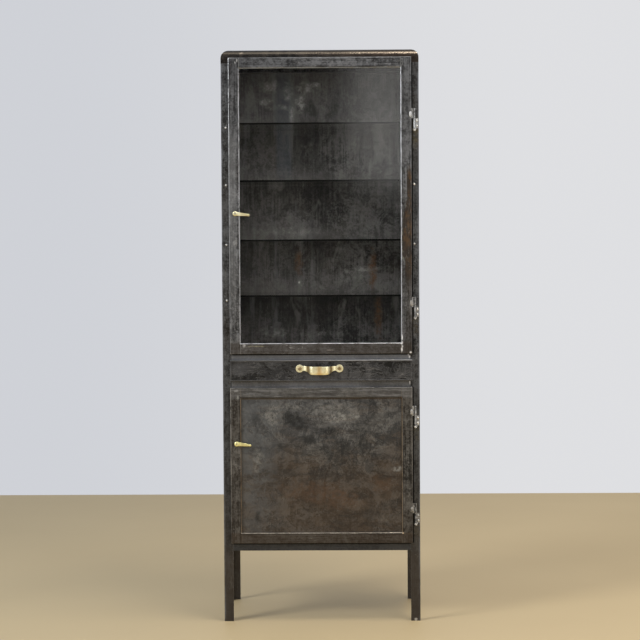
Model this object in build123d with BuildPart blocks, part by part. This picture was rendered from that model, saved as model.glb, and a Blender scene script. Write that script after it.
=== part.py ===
from build123d import *
import os
from math import cos, radians, sin

# A free-standing steel cabinet. Four angle iron posts carry a glazed cupboard with four glass
# shelves, a shallow drawer and a closed cupboard. Sizes are in millimetres. X runs to the right,
# Y to the back and Z up. The origin is on the floor, under the middle of the whole outline with
# the drawer pull included.

# Whole cabinet: over the corner posts, then the openings from the floor up
WIDTH = 630
DEPTH = 400
LEG_CLEARANCE = 228
LOWER_OPENING = 490
DRAWER_OPENING = 58
UPPER_OPENING = 921
CAP_HEIGHT = 43

# Angle iron, sheet and cap of the carcass
ANGLE = 30
ANGLE_WALL = 3
ANGLE_CORNER = 1
SHEET = 1.2
CAP_WALL = 2
CAP_RADIUS = 27
HEAD_CLEARANCE = 2

# Glass shelves: heights of their undersides over the floor of the glazed cupboard
SHELF_RISES = [175, 353, 543, 726]
SHELF_GLASS = 6
SHELF_SETBACK = 12
SHELF_CLEARANCE = 1.5
BAR = 20
BAR_WALL = 2

# Rivets
RIVET_RADIUS = 2
RIVET_HEAD_RADIUS = 3.4
RIVET_HEAD_HEIGHT = 1.6
RIVET_CLEARANCE = 0.1
SHELF_RIVET_DROP = 10

# Doors: overlaid frames of folded sheet, open at the back
DOOR_FACE = 34.5
DOOR_WALL = 2
DOOR_RETURN = 9
DOOR_GLASS = 4
DOOR_STRIP = 2
DOOR_LAP = 8
DOOR_PANEL = 1.5
DOOR_GAP = 0.3
OVERLAY_SIDE = 6
OVERLAY_END = 5
OVERLAY_TOP = 17

# Lift-off hinges: the upper knuckle is on the door, the lower one and its pin on the post
HINGE_LENGTH = 63
HINGE_LEAF = 2
HINGE_BRIDGE = 3.7
KNUCKLE_RADIUS = 4
KNUCKLE_GAP = 1
KNUCKLE_PLAY = 0.2
PIN_RADIUS = 2.5
PIN_FIT = 0.05
PIN_REACH = 26
LEAF_MARGIN = 2
LEAF_DEPTH = 12
UPPER_DOOR_HINGE_RISE = 148
UPPER_DOOR_HINGE_DROP = 195
LOWER_DOOR_HINGE_RISE = 95
LOWER_DOOR_HINGE_DROP = 92

# Lever latches, one to a door
UPPER_LEVER_RISE = 448
LOWER_LEVER_RISE = 321
LEVER_SHIFT = 3
HUB_RADIUS = 7.8
HUB_DEPTH = 10
HUB_ROUNDING = 2.5
HUB_GAP = 0.2
ARM_TILT = 6.2
ARM_LENGTH = 42.7
ARM_TIP_RADIUS = 3.4
ARM_WAIST = 18
ARM_WAIST_RADIUS = 4.4
ARM_THICKNESS = 6
ARM_ROUNDING = 1.5
KNOB_RADIUS = 4.4
SPINDLE_RADIUS = 3.5
SPINDLE_FIT = 0.05
SPINDLE_NOSE_RADIUS = 2
TONGUE_REACH = 23
TONGUE_WIDTH = 12
TONGUE_THICKNESS = 3
TONGUE_GAP = 1
SPINDLE_TAIL = 1.5

# Drawer
DRAWER_FRONT_DEPTH = 15
DRAWER_RIM = 5
DRAWER_RECESS = 3
DRAWER_WALL = 2
TRAY_WALL = 1.2
TRAY_LENGTH = 340
TRAY_SIDE_GAP = 2
TRAY_HEADROOM = 5
RUNNER = 25
RUNNER_WALL = 2
RUNNER_SIDE_GAP = 1
SLIDE_GAP = 0.3

# Drawer pull
PULL_SPACING = 126.5
PULL_PROJECTION = 27
PULL_WALL = 3
PULL_RISE = 7
PULL_SHIFT = -5
PULL_EYE_RADIUS = 14
PULL_NECK = 15.7
PULL_NECK_END = 47
PULL_GRIP_TOP = 6.7
PULL_GRIP_DROP = 20
PULL_GRIP_LENGTH = 66
PULL_GRIP_FOOT = 60
PULL_CROWN = 3
PULL_BEND = 4
SCREW_RADIUS = 2.5
SCREW_CLEARANCE = 0.1
SCREW_HEAD_RADIUS = 6
SCREW_HEAD_HEIGHT = 3.2
SCREW_SLOT = 1.2
NUT_RADIUS = 4.6
NUT_HEIGHT = 4
SCREW_TAIL = 1

# Levels of the rails' lower edges, and the height of the cabinet
BOTTOM_RAIL = LEG_CLEARANCE
DIVIDER_RAIL = BOTTOM_RAIL + ANGLE + LOWER_OPENING
DECK_RAIL = DIVIDER_RAIL + ANGLE + DRAWER_OPENING
POST_TOP = DECK_RAIL + ANGLE + UPPER_OPENING
HEIGHT = POST_TOP + CAP_HEIGHT

# Faces of the carcass across X and along Y. The pull reaches furthest in front of the posts, and
# the shelf rivets behind them.
REACH = DOOR_GAP + DRAWER_FRONT_DEPTH - DRAWER_RECESS + PULL_PROJECTION
FRONT = (REACH - DEPTH - RIVET_HEAD_HEIGHT) / 2
BACK = FRONT + DEPTH
SIDE = WIDTH / 2
OPENING_HALF = SIDE - ANGLE
PANEL_OUT = SIDE - ANGLE_WALL
PANEL_IN = PANEL_OUT - SHEET
BACK_OUT = BACK - ANGLE_WALL
BACK_IN = BACK_OUT - SHEET
FLANGE_BACK = FRONT + ANGLE_WALL
DECK_TOP = DECK_RAIL + ANGLE
SHELF_LEVELS = [DECK_TOP + SHEET + rise for rise in SHELF_RISES]

# Doors, hinges and latches
DOOR_DEPTH = DOOR_RETURN + DOOR_GLASS + DOOR_STRIP
DOOR_BACK = FRONT - DOOR_GAP
DOOR_FRONT = DOOR_BACK - DOOR_DEPTH
DOOR_HALF = OPENING_HALF + OVERLAY_SIDE
WINDOW_HALF = DOOR_HALF - DOOR_FACE
UPPER_DOOR = (DECK_TOP - OVERLAY_END, POST_TOP + OVERLAY_TOP)
LOWER_DOOR = (BOTTOM_RAIL + ANGLE - OVERLAY_END, DIVIDER_RAIL + OVERLAY_END)
PIN_X = DOOR_HALF + HINGE_LEAF + HINGE_BRIDGE + KNUCKLE_RADIUS
PIN_Y = FRONT - KNUCKLE_GAP - KNUCKLE_RADIUS
UPPER_HINGES = [UPPER_DOOR[0] + UPPER_DOOR_HINGE_RISE, UPPER_DOOR[1] - UPPER_DOOR_HINGE_DROP]
LOWER_HINGES = [LOWER_DOOR[0] + LOWER_DOOR_HINGE_RISE, LOWER_DOOR[1] - LOWER_DOOR_HINGE_DROP]
HINGES = UPPER_HINGES + LOWER_HINGES
LEAF_LENGTH = HINGE_LENGTH / 2
LEVER_X = DOOR_FACE / 2 - DOOR_HALF + LEVER_SHIFT
TONGUE_FRONT = FLANGE_BACK + TONGUE_GAP
TONGUE_BACK = TONGUE_FRONT + TONGUE_THICKNESS
RIVET_X = SIDE - ANGLE / 2

# Drawer
DRAWER_BACK = FRONT - DOOR_GAP
DRAWER_FRONT = DRAWER_BACK - DRAWER_FRONT_DEPTH
DRAWER_FACE = DRAWER_FRONT + DRAWER_RECESS
DRAWER_SPAN = (DIVIDER_RAIL + ANGLE - OVERLAY_END, DECK_RAIL + OVERLAY_END)
DIVIDER_TOP = DIVIDER_RAIL + ANGLE
TRAY_FRONT = DRAWER_BACK
TRAY_BACK = TRAY_FRONT + TRAY_LENGTH
TRAY_HALF = OPENING_HALF - TRAY_SIDE_GAP
TRAY_SPAN = (DIVIDER_TOP + RUNNER_WALL + SLIDE_GAP, DECK_RAIL - TRAY_HEADROOM)
PULL_LEVEL = (DRAWER_SPAN[0] + DRAWER_SPAN[1]) / 2 + PULL_RISE

os.makedirs("parts", exist_ok=True)


def save(builder, label):
    """Name a finished piece and write its file."""
    builder.part.label = label
    export_step(builder.part, f"parts/{label}.step")


def slab(x_span, y_span, z_span, mode=Mode.ADD):
    """A block between two values along each axis."""
    lows = [min(span) for span in (x_span, y_span, z_span)]
    sizes = [abs(span[1] - span[0]) for span in (x_span, y_span, z_span)]
    with Locations(tuple(lows)):
        Box(*sizes, align=(Align.MIN, Align.MIN, Align.MIN), mode=mode)


def across(x, y, z):
    """A plane whose normal runs to the right, with Y along its first axis and Z up."""
    return Plane((x, y, z), x_dir=(0, 1, 0), z_dir=(1, 0, 0))


def forward(x, y, z):
    """A plane that faces the front, with X along its first axis and Z up."""
    return Plane((x, y, z), x_dir=(1, 0, 0), z_dir=(0, -1, 0))


def rearward(x, y, z):
    """A plane that faces the back, with Z up."""
    return Plane((x, y, z), x_dir=(-1, 0, 0), z_dir=(0, 1, 0))


def angle_outline(leg_u, leg_v, wall):
    """The six points of an angle iron's section. The signs of the legs turn it about its corner."""
    wall_u = wall if leg_u > 0 else -wall
    wall_v = wall if leg_v > 0 else -wall
    return [(0, 0), (leg_u, 0), (leg_u, wall_v), (wall_u, wall_v), (wall_u, leg_v), (0, leg_v)]


def angle_iron(label, plane, leg_u, leg_v, length, wall=ANGLE_WALL, holes=()):
    """A length of angle iron along the plane's normal, with its outer corner on the origin."""
    with BuildPart() as iron:
        with BuildSketch(plane):
            with BuildLine():
                Polyline(*angle_outline(leg_u, leg_v, wall), close=True)
            make_face()
        extrude(amount=length)
        corner = iron.edges().filter_by(Axis(plane.origin, plane.z_dir)).sort_by_distance(plane.origin)[0]
        fillet(corner, ANGLE_CORNER)
        for hole in holes:
            with Locations(hole):
                Hole(RIVET_RADIUS + RIVET_CLEARANCE, depth=2 * wall)
    save(iron, label)


def sheet_piece(label, x_span, y_span, z_span, holes=()):
    """A flat sheet or pane, with rivet holes."""
    with BuildPart() as sheet:
        slab(x_span, y_span, z_span)
        for hole in holes:
            with Locations(hole):
                Hole(RIVET_RADIUS + RIVET_CLEARANCE, depth=2 * SHEET)
    save(sheet, label)


def rivet_solid(grip, outer_head=RIVET_HEAD_HEIGHT, tail_head=RIVET_HEAD_HEIGHT):
    """A rivet down the Z axis: its outer head stands on the origin, its tail closes the grip.

    A head with no height is hammered flush.
    """
    tail = -grip - tail_head
    with BuildPart() as rivet:
        with BuildSketch(Plane.XZ):
            with BuildLine():
                if outer_head:
                    TangentArc((0, outer_head), (RIVET_HEAD_RADIUS, 0), tangent=(1, 0))
                    Line((RIVET_HEAD_RADIUS, 0), (RIVET_RADIUS, 0))
                else:
                    Line((0, 0), (RIVET_RADIUS, 0))
                Line((RIVET_RADIUS, 0), (RIVET_RADIUS, -grip))
                if tail_head:
                    Line((RIVET_RADIUS, -grip), (RIVET_HEAD_RADIUS, -grip))
                    TangentArc((0, tail), (RIVET_HEAD_RADIUS, -grip), tangent=(1, 0))
                else:
                    Line((RIVET_RADIUS, -grip), (0, -grip))
                Line((0, tail), (0, outer_head))
            make_face()
        revolve(axis=Axis.Z)
    return rivet.part


# Corner posts. The hinge side carries the leaves of both doors on its front flange.


def shelf_rivet_level(level):
    """Height of the rivets that hold one pair of shelf bars."""
    return level - SHELF_RIVET_DROP


def post_leaf_rivets():
    """Planes on the post's face for the rivets of the hinge leaves."""
    x = (PIN_X + KNUCKLE_RADIUS + SIDE - LEAF_MARGIN) / 2
    quarter = LEAF_LENGTH / 4
    return [forward(x, FRONT, hinge - rise) for hinge in HINGES for rise in (quarter, 3 * quarter)]


def front_shelf_rivets(side):
    """Planes on the face of a front post for its shelf rivets."""
    return [forward(side * RIVET_X, FRONT, shelf_rivet_level(level)) for level in SHELF_LEVELS]


def rear_shelf_rivets(side):
    """Planes on the back of a rear post for its shelf rivets."""
    return [rearward(side * RIVET_X, BACK, shelf_rivet_level(level)) for level in SHELF_LEVELS]


angle_iron(
    "front_left_post", Plane((-SIDE, FRONT, 0)), ANGLE, ANGLE, POST_TOP, holes=front_shelf_rivets(-1)
)
angle_iron(
    "front_right_post",
    Plane((SIDE, FRONT, 0)),
    -ANGLE,
    ANGLE,
    POST_TOP,
    holes=front_shelf_rivets(1) + post_leaf_rivets(),
)
angle_iron("rear_left_post", Plane((-SIDE, BACK, 0)), ANGLE, -ANGLE, POST_TOP, holes=rear_shelf_rivets(-1))
angle_iron("rear_right_post", Plane((SIDE, BACK, 0)), -ANGLE, -ANGLE, POST_TOP, holes=rear_shelf_rivets(1))

# Bottom ring: four rails between the posts, flush with their outer faces
bottom_top = BOTTOM_RAIL + ANGLE
span = DEPTH - 2 * ANGLE
angle_iron("bottom_rail_front", across(-OPENING_HALF, FRONT, bottom_top), ANGLE, -ANGLE, 2 * OPENING_HALF)
angle_iron("bottom_rail_rear", across(-OPENING_HALF, BACK, bottom_top), -ANGLE, -ANGLE, 2 * OPENING_HALF)
angle_iron("bottom_rail_left", forward(-SIDE, BACK - ANGLE, bottom_top), ANGLE, -ANGLE, span)
angle_iron("bottom_rail_right", forward(SIDE, BACK - ANGLE, bottom_top), -ANGLE, -ANGLE, span)

# Divider under the drawer: a front rail flush with the posts and a rear rail inside the back sheet
angle_iron("divider_rail_front", across(-OPENING_HALF, FRONT, DIVIDER_TOP), ANGLE, -ANGLE, 2 * OPENING_HALF)
angle_iron("divider_rail_rear", across(-PANEL_IN, BACK_IN, DIVIDER_TOP), -ANGLE, -ANGLE, 2 * PANEL_IN)

# Deck over the drawer: front and rear rails as below, and side rails against the side sheets
side_span = BACK_IN - FRONT - 2 * ANGLE
angle_iron("deck_rail_front", across(-OPENING_HALF, FRONT, DECK_TOP), ANGLE, -ANGLE, 2 * OPENING_HALF)
angle_iron("deck_rail_rear", across(-PANEL_IN, BACK_IN, DECK_TOP), -ANGLE, -ANGLE, 2 * PANEL_IN)
angle_iron("deck_rail_left", forward(-PANEL_IN, BACK_IN - ANGLE, DECK_TOP), ANGLE, -ANGLE, side_span)
angle_iron("deck_rail_right", forward(PANEL_IN, BACK_IN - ANGLE, DECK_TOP), -ANGLE, -ANGLE, side_span)

# Head ring: stands on the tops of the posts, inside the skirt of the cap
head_x = SIDE - CAP_WALL
head_up = CAP_HEIGHT - CAP_RADIUS - HEAD_CLEARANCE
head_span = DEPTH - 2 * CAP_WALL - 2 * ANGLE
head_front = FRONT + CAP_WALL
head_back = BACK - CAP_WALL
angle_iron("head_rail_front", across(-head_x, head_front, POST_TOP), ANGLE, head_up, 2 * head_x)
angle_iron("head_rail_rear", across(-head_x, head_back, POST_TOP), -ANGLE, head_up, 2 * head_x)
angle_iron("head_rail_left", forward(-head_x, head_back - ANGLE, POST_TOP), ANGLE, head_up, head_span)
angle_iron("head_rail_right", forward(head_x, head_back - ANGLE, POST_TOP), -ANGLE, head_up, head_span)

# Cap: a pressed tray turned over, with round upper edges, standing on the posts
with BuildPart() as cap:
    slab((-SIDE, SIDE), (FRONT, BACK), (POST_TOP, HEIGHT))
    fillet(cap.edges().group_by(Axis.Z)[-1], CAP_RADIUS)
    with BuildPart(mode=Mode.PRIVATE) as hollow:
        slab(
            (CAP_WALL - SIDE, SIDE - CAP_WALL),
            (FRONT + CAP_WALL, BACK - CAP_WALL),
            (POST_TOP, HEIGHT - CAP_WALL),
        )
        fillet(hollow.edges().group_by(Axis.Z)[-1], CAP_RADIUS - CAP_WALL)
    add(hollow.part, mode=Mode.SUBTRACT)
save(cap, "top_cap")

# Side and back sheets, and the floors of the two cupboards
side_y = (FLANGE_BACK, BACK_OUT)
sheet_z = (bottom_top, POST_TOP)
sheet_piece("left_side_panel", (-PANEL_OUT, -PANEL_IN), side_y, sheet_z)
sheet_piece("right_side_panel", (PANEL_IN, PANEL_OUT), side_y, sheet_z)
sheet_piece(
    "back_panel",
    (-PANEL_IN, PANEL_IN),
    (BACK_IN, BACK_OUT),
    sheet_z,
    holes=[rearward(side * RIVET_X, BACK_OUT, shelf_rivet_level(z)) for side in (-1, 1) for z in SHELF_LEVELS],
)
floor_y = (FLANGE_BACK, BACK_IN)
sheet_piece("bottom_panel", (-PANEL_IN, PANEL_IN), floor_y, (bottom_top, bottom_top + SHEET))
sheet_piece("deck_panel", (-PANEL_IN, PANEL_IN), floor_y, (DECK_TOP, DECK_TOP + SHEET))

# Glass shelves, each on a pair of bars
shelf_half = PANEL_IN - SHELF_CLEARANCE
shelf_y = (FLANGE_BACK + SHELF_SETBACK, BACK_IN - SHELF_CLEARANCE)
for number, level in enumerate(SHELF_LEVELS, start=1):
    with BuildPart() as pane:
        slab((-shelf_half, shelf_half), shelf_y, (level, level + SHELF_GLASS))
        fillet(pane.edges().filter_by(Axis.X), SHELF_GLASS / 4)
    save(pane, f"glass_shelf_{number}")


def shelf_bars(label, side):
    """Four angle bars along one side sheet, with tabs turned in at both ends for the rivets."""
    wall = side * PANEL_IN
    inner = side * (PANEL_IN - BAR)
    with BuildPart() as bars:
        for level in SHELF_LEVELS:
            drop = (level - BAR, level)
            slab((wall, side * (PANEL_IN - BAR_WALL)), (FLANGE_BACK, BACK_IN), drop)
            slab((wall, inner), (FLANGE_BACK, BACK_IN), (level - BAR_WALL, level))
            slab((wall, inner), (FLANGE_BACK, FLANGE_BACK + BAR_WALL), drop)
            slab((wall, inner), (BACK_IN - BAR_WALL, BACK_IN), drop)
            rivet_level = shelf_rivet_level(level)
            with Locations(
                forward(side * RIVET_X, FLANGE_BACK, rivet_level),
                rearward(side * RIVET_X, BACK_IN, rivet_level),
            ):
                Hole(RIVET_RADIUS + RIVET_CLEARANCE, depth=2 * BAR_WALL)
    save(bars, label)


shelf_bars("left_shelf_bars", -1)
shelf_bars("right_shelf_bars", 1)


def behind_hinge(side, level):
    """Whether a hinge covers this place on a front post, so that the rivet there is flush."""
    reach = HINGE_LENGTH / 2 + RIVET_HEAD_RADIUS
    return side > 0 and any(abs(level - hinge) < reach for hinge in HINGES)


front_rivet = rivet_solid(ANGLE_WALL + BAR_WALL)
flush_rivet = rivet_solid(ANGLE_WALL + BAR_WALL, outer_head=0)
rear_rivet = rivet_solid(ANGLE_WALL + SHEET + BAR_WALL)
with BuildPart() as shelf_rivets:
    for side in (-1, 1):
        for place in front_shelf_rivets(side):
            with Locations(place):
                add(flush_rivet if behind_hinge(side, place.origin.Z) else front_rivet)
        for place in rear_shelf_rivets(side):
            with Locations(place):
                add(rear_rivet)
save(shelf_rivets, "shelf_rivets")

# Hinges, post side: a leaf with the lower knuckle, and the pin pressed into it
with BuildPart() as post_leaves:
    for hinge in HINGES:
        with BuildSketch(Plane((PIN_X, PIN_Y, hinge - LEAF_LENGTH))):
            Circle(KNUCKLE_RADIUS)
            leaf_end = SIDE - LEAF_MARGIN - PIN_X
            with Locations((0, FRONT - PIN_Y)):
                Rectangle(leaf_end, HINGE_LEAF, align=(Align.MIN, Align.MAX))
            with Locations((0, 0)):
                Rectangle(KNUCKLE_RADIUS, FRONT - PIN_Y, align=(Align.MIN, Align.MIN))
            Circle(PIN_RADIUS, mode=Mode.SUBTRACT)
        extrude(amount=LEAF_LENGTH)
    for place in post_leaf_rivets():
        with Locations(place.offset(HINGE_LEAF)):
            Hole(RIVET_RADIUS + RIVET_CLEARANCE, depth=2 * HINGE_LEAF)
save(post_leaves, "hinge_post_leaves")

with BuildPart() as pins:
    for hinge in HINGES:
        with BuildSketch(Plane((PIN_X, PIN_Y, hinge - LEAF_LENGTH))):
            Circle(PIN_RADIUS)
        extrude(amount=LEAF_LENGTH + PIN_REACH)
save(pins, "hinge_pins")

leaf_rivet = rivet_solid(HINGE_LEAF + ANGLE_WALL, tail_head=0)
with BuildPart() as post_rivets:
    for place in post_leaf_rivets():
        with Locations(place.offset(HINGE_LEAF)):
            add(leaf_rivet)
save(post_rivets, "post_leaf_rivets")


def door_leaf_rivets(hinges):
    """Planes on the door's right edge for the rivets of its hinge leaves."""
    y = PIN_Y - HINGE_LEAF / 2 - RIVET_HEAD_RADIUS - RIVET_CLEARANCE
    quarter = LEAF_LENGTH / 4
    return [across(DOOR_HALF, y, hinge + rise) for hinge in hinges for rise in (quarter, 3 * quarter)]


def door_leaves(label, hinges):
    """Hinges, door side: a leaf on the door's edge, bridged to the upper knuckle over the pin."""
    with BuildPart() as leaves:
        for hinge in hinges:
            with BuildSketch(Plane((PIN_X, PIN_Y, hinge + KNUCKLE_PLAY))):
                Circle(KNUCKLE_RADIUS)
                with Locations((0, 0)):
                    Rectangle(PIN_X - DOOR_HALF, HINGE_LEAF, align=(Align.MAX, Align.CENTER))
                with Locations((DOOR_HALF - PIN_X, LEAF_DEPTH / 4)):
                    Rectangle(HINGE_LEAF, LEAF_DEPTH, align=(Align.MIN, Align.MAX))
            extrude(amount=LEAF_LENGTH - KNUCKLE_PLAY)
            with BuildSketch(Plane((PIN_X, PIN_Y, hinge + KNUCKLE_PLAY))):
                Circle(PIN_RADIUS + PIN_FIT)
            extrude(amount=PIN_REACH, mode=Mode.SUBTRACT)
        for place in door_leaf_rivets(hinges):
            with Locations(place.offset(HINGE_LEAF)):
                Hole(RIVET_RADIUS + RIVET_CLEARANCE, depth=2 * HINGE_LEAF)
    save(leaves, label)


def door_rivets(label, hinges):
    """Rivets through a door's edge and its hinge leaves."""
    rivet = rivet_solid(HINGE_LEAF + DOOR_WALL)
    with BuildPart() as rivets:
        for place in door_leaf_rivets(hinges):
            with Locations(place.offset(HINGE_LEAF)):
                add(rivet)
    save(rivets, label)


def door_frame(label, span, hinges, lever_level):
    """A frame folded from sheet: face, outer edge and a shorter return round the window."""
    height = span[1] - span[0]
    face = forward(0, DOOR_FRONT, (span[0] + span[1]) / 2)
    outer = (2 * DOOR_HALF, height)
    window = (2 * WINDOW_HALF, height - 2 * DOOR_FACE)
    inside = (outer[0] - 2 * DOOR_WALL, outer[1] - 2 * DOOR_WALL)
    with BuildPart() as frame:
        with BuildSketch(face):
            Rectangle(*outer)
            Rectangle(*window, mode=Mode.SUBTRACT)
        extrude(amount=-DOOR_DEPTH)
        with BuildSketch(face.offset(-DOOR_DEPTH)):
            Rectangle(*inside)
        extrude(amount=DOOR_DEPTH - DOOR_RETURN, mode=Mode.SUBTRACT)
        with BuildSketch(face.offset(-DOOR_RETURN)):
            Rectangle(*inside)
            Rectangle(window[0] + 2 * DOOR_WALL, window[1] + 2 * DOOR_WALL, mode=Mode.SUBTRACT)
        extrude(amount=DOOR_RETURN - DOOR_WALL, mode=Mode.SUBTRACT)
        fillet(frame.faces().sort_by(Axis.Y)[0].inner_wires()[0].edges(), 2 * DOOR_WALL)
        fillet(frame.faces().sort_by(Axis.Y)[0].outer_wire().edges(), DOOR_WALL)
        with Locations(forward(LEVER_X, DOOR_FRONT, lever_level)):
            Hole(SPINDLE_RADIUS + SPINDLE_FIT, depth=2 * DOOR_WALL)
        with Locations(*door_leaf_rivets(hinges)):
            Hole(RIVET_RADIUS + RIVET_CLEARANCE, depth=2 * DOOR_WALL)
    save(frame, label)


# Upper door: frame, pane, and strips that close the frame's back and hold the pane
upper_lever_level = UPPER_DOOR[0] + UPPER_LEVER_RISE
door_frame("upper_door_frame", UPPER_DOOR, UPPER_HINGES, upper_lever_level)
door_leaves("upper_door_hinge_leaves", UPPER_HINGES)
door_rivets("upper_door_leaf_rivets", UPPER_HINGES)

pane_half = WINDOW_HALF + DOOR_LAP
pane_inset = DOOR_FACE - DOOR_LAP
glass_back = DOOR_FRONT + DOOR_RETURN + DOOR_GLASS
sheet_piece(
    "upper_door_glass",
    (-pane_half, pane_half),
    (DOOR_FRONT + DOOR_RETURN, glass_back),
    (UPPER_DOOR[0] + pane_inset, UPPER_DOOR[1] - pane_inset),
)

strip_y = (glass_back, DOOR_BACK)
strip_out = DOOR_HALF - DOOR_WALL
strip_z = (UPPER_DOOR[0] + DOOR_WALL, UPPER_DOOR[1] - DOOR_WALL)
with BuildPart() as side_strips:
    slab((-strip_out, -WINDOW_HALF), strip_y, strip_z)
    slab((WINDOW_HALF, strip_out), strip_y, strip_z)
    with Locations(forward(LEVER_X, glass_back, upper_lever_level)):
        Hole(SPINDLE_RADIUS + SPINDLE_FIT, depth=2 * DOOR_STRIP)
save(side_strips, "upper_door_side_strips")

strip_height = DOOR_FACE - DOOR_WALL
with BuildPart() as cross_strips:
    slab((-WINDOW_HALF, WINDOW_HALF), strip_y, (strip_z[0], strip_z[0] + strip_height))
    slab((-WINDOW_HALF, WINDOW_HALF), strip_y, (strip_z[1] - strip_height, strip_z[1]))
save(cross_strips, "upper_door_cross_strips")

# Lower door: the same frame with a steel panel behind its return
lower_lever_level = LOWER_DOOR[0] + LOWER_LEVER_RISE
door_frame("lower_door_frame", LOWER_DOOR, LOWER_HINGES, lower_lever_level)
door_leaves("lower_door_hinge_leaves", LOWER_HINGES)
door_rivets("lower_door_leaf_rivets", LOWER_HINGES)
sheet_piece(
    "lower_door_panel",
    (-pane_half, pane_half),
    (DOOR_FRONT + DOOR_RETURN, DOOR_FRONT + DOOR_RETURN + DOOR_PANEL),
    (LOWER_DOOR[0] + pane_inset, LOWER_DOOR[1] - pane_inset),
)


def latch(prefix, level):
    """A lever, its spindle through the door frame, and the tongue behind the post's flange."""
    seat = DOOR_FRONT - HUB_GAP
    tilt = radians(ARM_TILT)
    base = Plane((LEVER_X, seat, level), x_dir=(cos(tilt), 0, -sin(tilt)), z_dir=(0, -1, 0))
    knob = (LEVER_X + ARM_LENGTH * cos(tilt), seat - HUB_DEPTH / 2, level - ARM_LENGTH * sin(tilt))
    with BuildPart() as lever:
        with BuildPart(mode=Mode.PRIVATE) as arm:
            with BuildSketch(base.offset((HUB_DEPTH - ARM_THICKNESS) / 2)):
                with BuildLine():
                    CenterArc((0, 0), HUB_RADIUS - HUB_ROUNDING / 2, 0, 360)
                    CenterArc((ARM_WAIST, 0), ARM_WAIST_RADIUS, 0, 360)
                make_hull()
                with BuildLine():
                    CenterArc((ARM_WAIST, 0), ARM_WAIST_RADIUS, 0, 360)
                    CenterArc((ARM_LENGTH, 0), ARM_TIP_RADIUS, 0, 360)
                make_hull()
            extrude(amount=ARM_THICKNESS)
            fillet(arm.edges().group_by(Axis.Y)[0] + arm.edges().group_by(Axis.Y)[-1], ARM_ROUNDING)
        with BuildSketch(base):
            Circle(HUB_RADIUS)
        extrude(amount=HUB_DEPTH)
        fillet(lever.edges().sort_by(Axis.Y)[0], HUB_ROUNDING)
        add(arm.part)
        with Locations(knob):
            Sphere(KNOB_RADIUS)
        with BuildSketch(base):
            Circle(SPINDLE_RADIUS)
        extrude(amount=HUB_DEPTH / 2, mode=Mode.SUBTRACT)
        with BuildSketch(base):
            Circle(SPINDLE_NOSE_RADIUS)
        extrude(amount=HUB_DEPTH, mode=Mode.SUBTRACT)
    save(lever, f"{prefix}_lever")

    with BuildPart() as spindle:
        with BuildSketch(rearward(LEVER_X, seat - HUB_DEPTH / 2, level)):
            Circle(SPINDLE_RADIUS)
        extrude(amount=TONGUE_BACK + SPINDLE_TAIL - seat + HUB_DEPTH / 2)
        with BuildSketch(base):
            Circle(SPINDLE_NOSE_RADIUS)
        extrude(amount=HUB_DEPTH)
    save(spindle, f"{prefix}_lever_spindle")

    with BuildPart() as tongue:
        with BuildSketch(rearward(LEVER_X, TONGUE_FRONT, level)):
            Circle(TONGUE_WIDTH / 2)
            Rectangle(TONGUE_WIDTH, TONGUE_REACH, align=(Align.CENTER, Align.MAX))
            Circle(SPINDLE_RADIUS, mode=Mode.SUBTRACT)
        extrude(amount=TONGUE_THICKNESS)
        toe = tongue.edges().filter_by(Axis.Y).group_by(Axis.Z)[0]
        fillet(toe, TONGUE_WIDTH / 4)
    save(tongue, f"{prefix}_lever_tongue")


latch("upper", upper_lever_level)
latch("lower", lower_lever_level)

# Drawer runners: angles from the front rail to the rear rail, under and beside the tray
runner_x = TRAY_HALF + RUNNER_SIDE_GAP + RUNNER_WALL
runner_span = BACK_IN - ANGLE_WALL - FLANGE_BACK
runner_back = BACK_IN - ANGLE_WALL
for label, side in (("drawer_runner_left", -1), ("drawer_runner_right", 1)):
    with BuildPart() as runner:
        wall = (side * runner_x, side * (runner_x - RUNNER_WALL))
        ledge = (side * runner_x, side * (runner_x - RUNNER))
        run = (FLANGE_BACK, runner_back)
        slab(ledge, run, (DIVIDER_TOP, DIVIDER_TOP + RUNNER_WALL))
        slab(wall, run, (DIVIDER_TOP, DIVIDER_TOP + RUNNER))
    save(runner, label)

# Drawer front: a shallow pan with a rim round a sunk face, hollow behind
front_level = (DRAWER_SPAN[0] + DRAWER_SPAN[1]) / 2
front_size = (2 * DOOR_HALF, DRAWER_SPAN[1] - DRAWER_SPAN[0])
eye_x = PULL_SPACING / 2
screw_level = PULL_LEVEL - front_level
screw_places = [(PULL_SHIFT - eye_x, screw_level), (PULL_SHIFT + eye_x, screw_level)]
with BuildPart() as drawer_front:
    face = forward(0, DRAWER_FRONT, front_level)
    with BuildSketch(face):
        Rectangle(*front_size)
    extrude(amount=-DRAWER_FRONT_DEPTH)
    with BuildSketch(face):
        Rectangle(front_size[0] - 2 * DRAWER_RIM, front_size[1] - 2 * DRAWER_RIM)
    extrude(amount=-DRAWER_RECESS, mode=Mode.SUBTRACT)
    with BuildSketch(face.offset(-DRAWER_FRONT_DEPTH)):
        Rectangle(front_size[0] - 2 * DRAWER_WALL, front_size[1] - 2 * DRAWER_WALL)
    extrude(amount=DRAWER_FRONT_DEPTH - DRAWER_RECESS - DRAWER_WALL, mode=Mode.SUBTRACT)
    rim = drawer_front.faces().sort_by(Axis.Y)[0]
    fillet(rim.outer_wire().edges(), DRAWER_WALL)
    rim = drawer_front.faces().sort_by(Axis.Y)[0]
    fillet(rim.inner_wires()[0].edges(), DRAWER_RIM / 4)
    with BuildSketch(face):
        with Locations(*screw_places):
            Circle(SCREW_RADIUS + SCREW_CLEARANCE)
    extrude(amount=-DRAWER_FRONT_DEPTH, mode=Mode.SUBTRACT)
save(drawer_front, "drawer_front")

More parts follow.
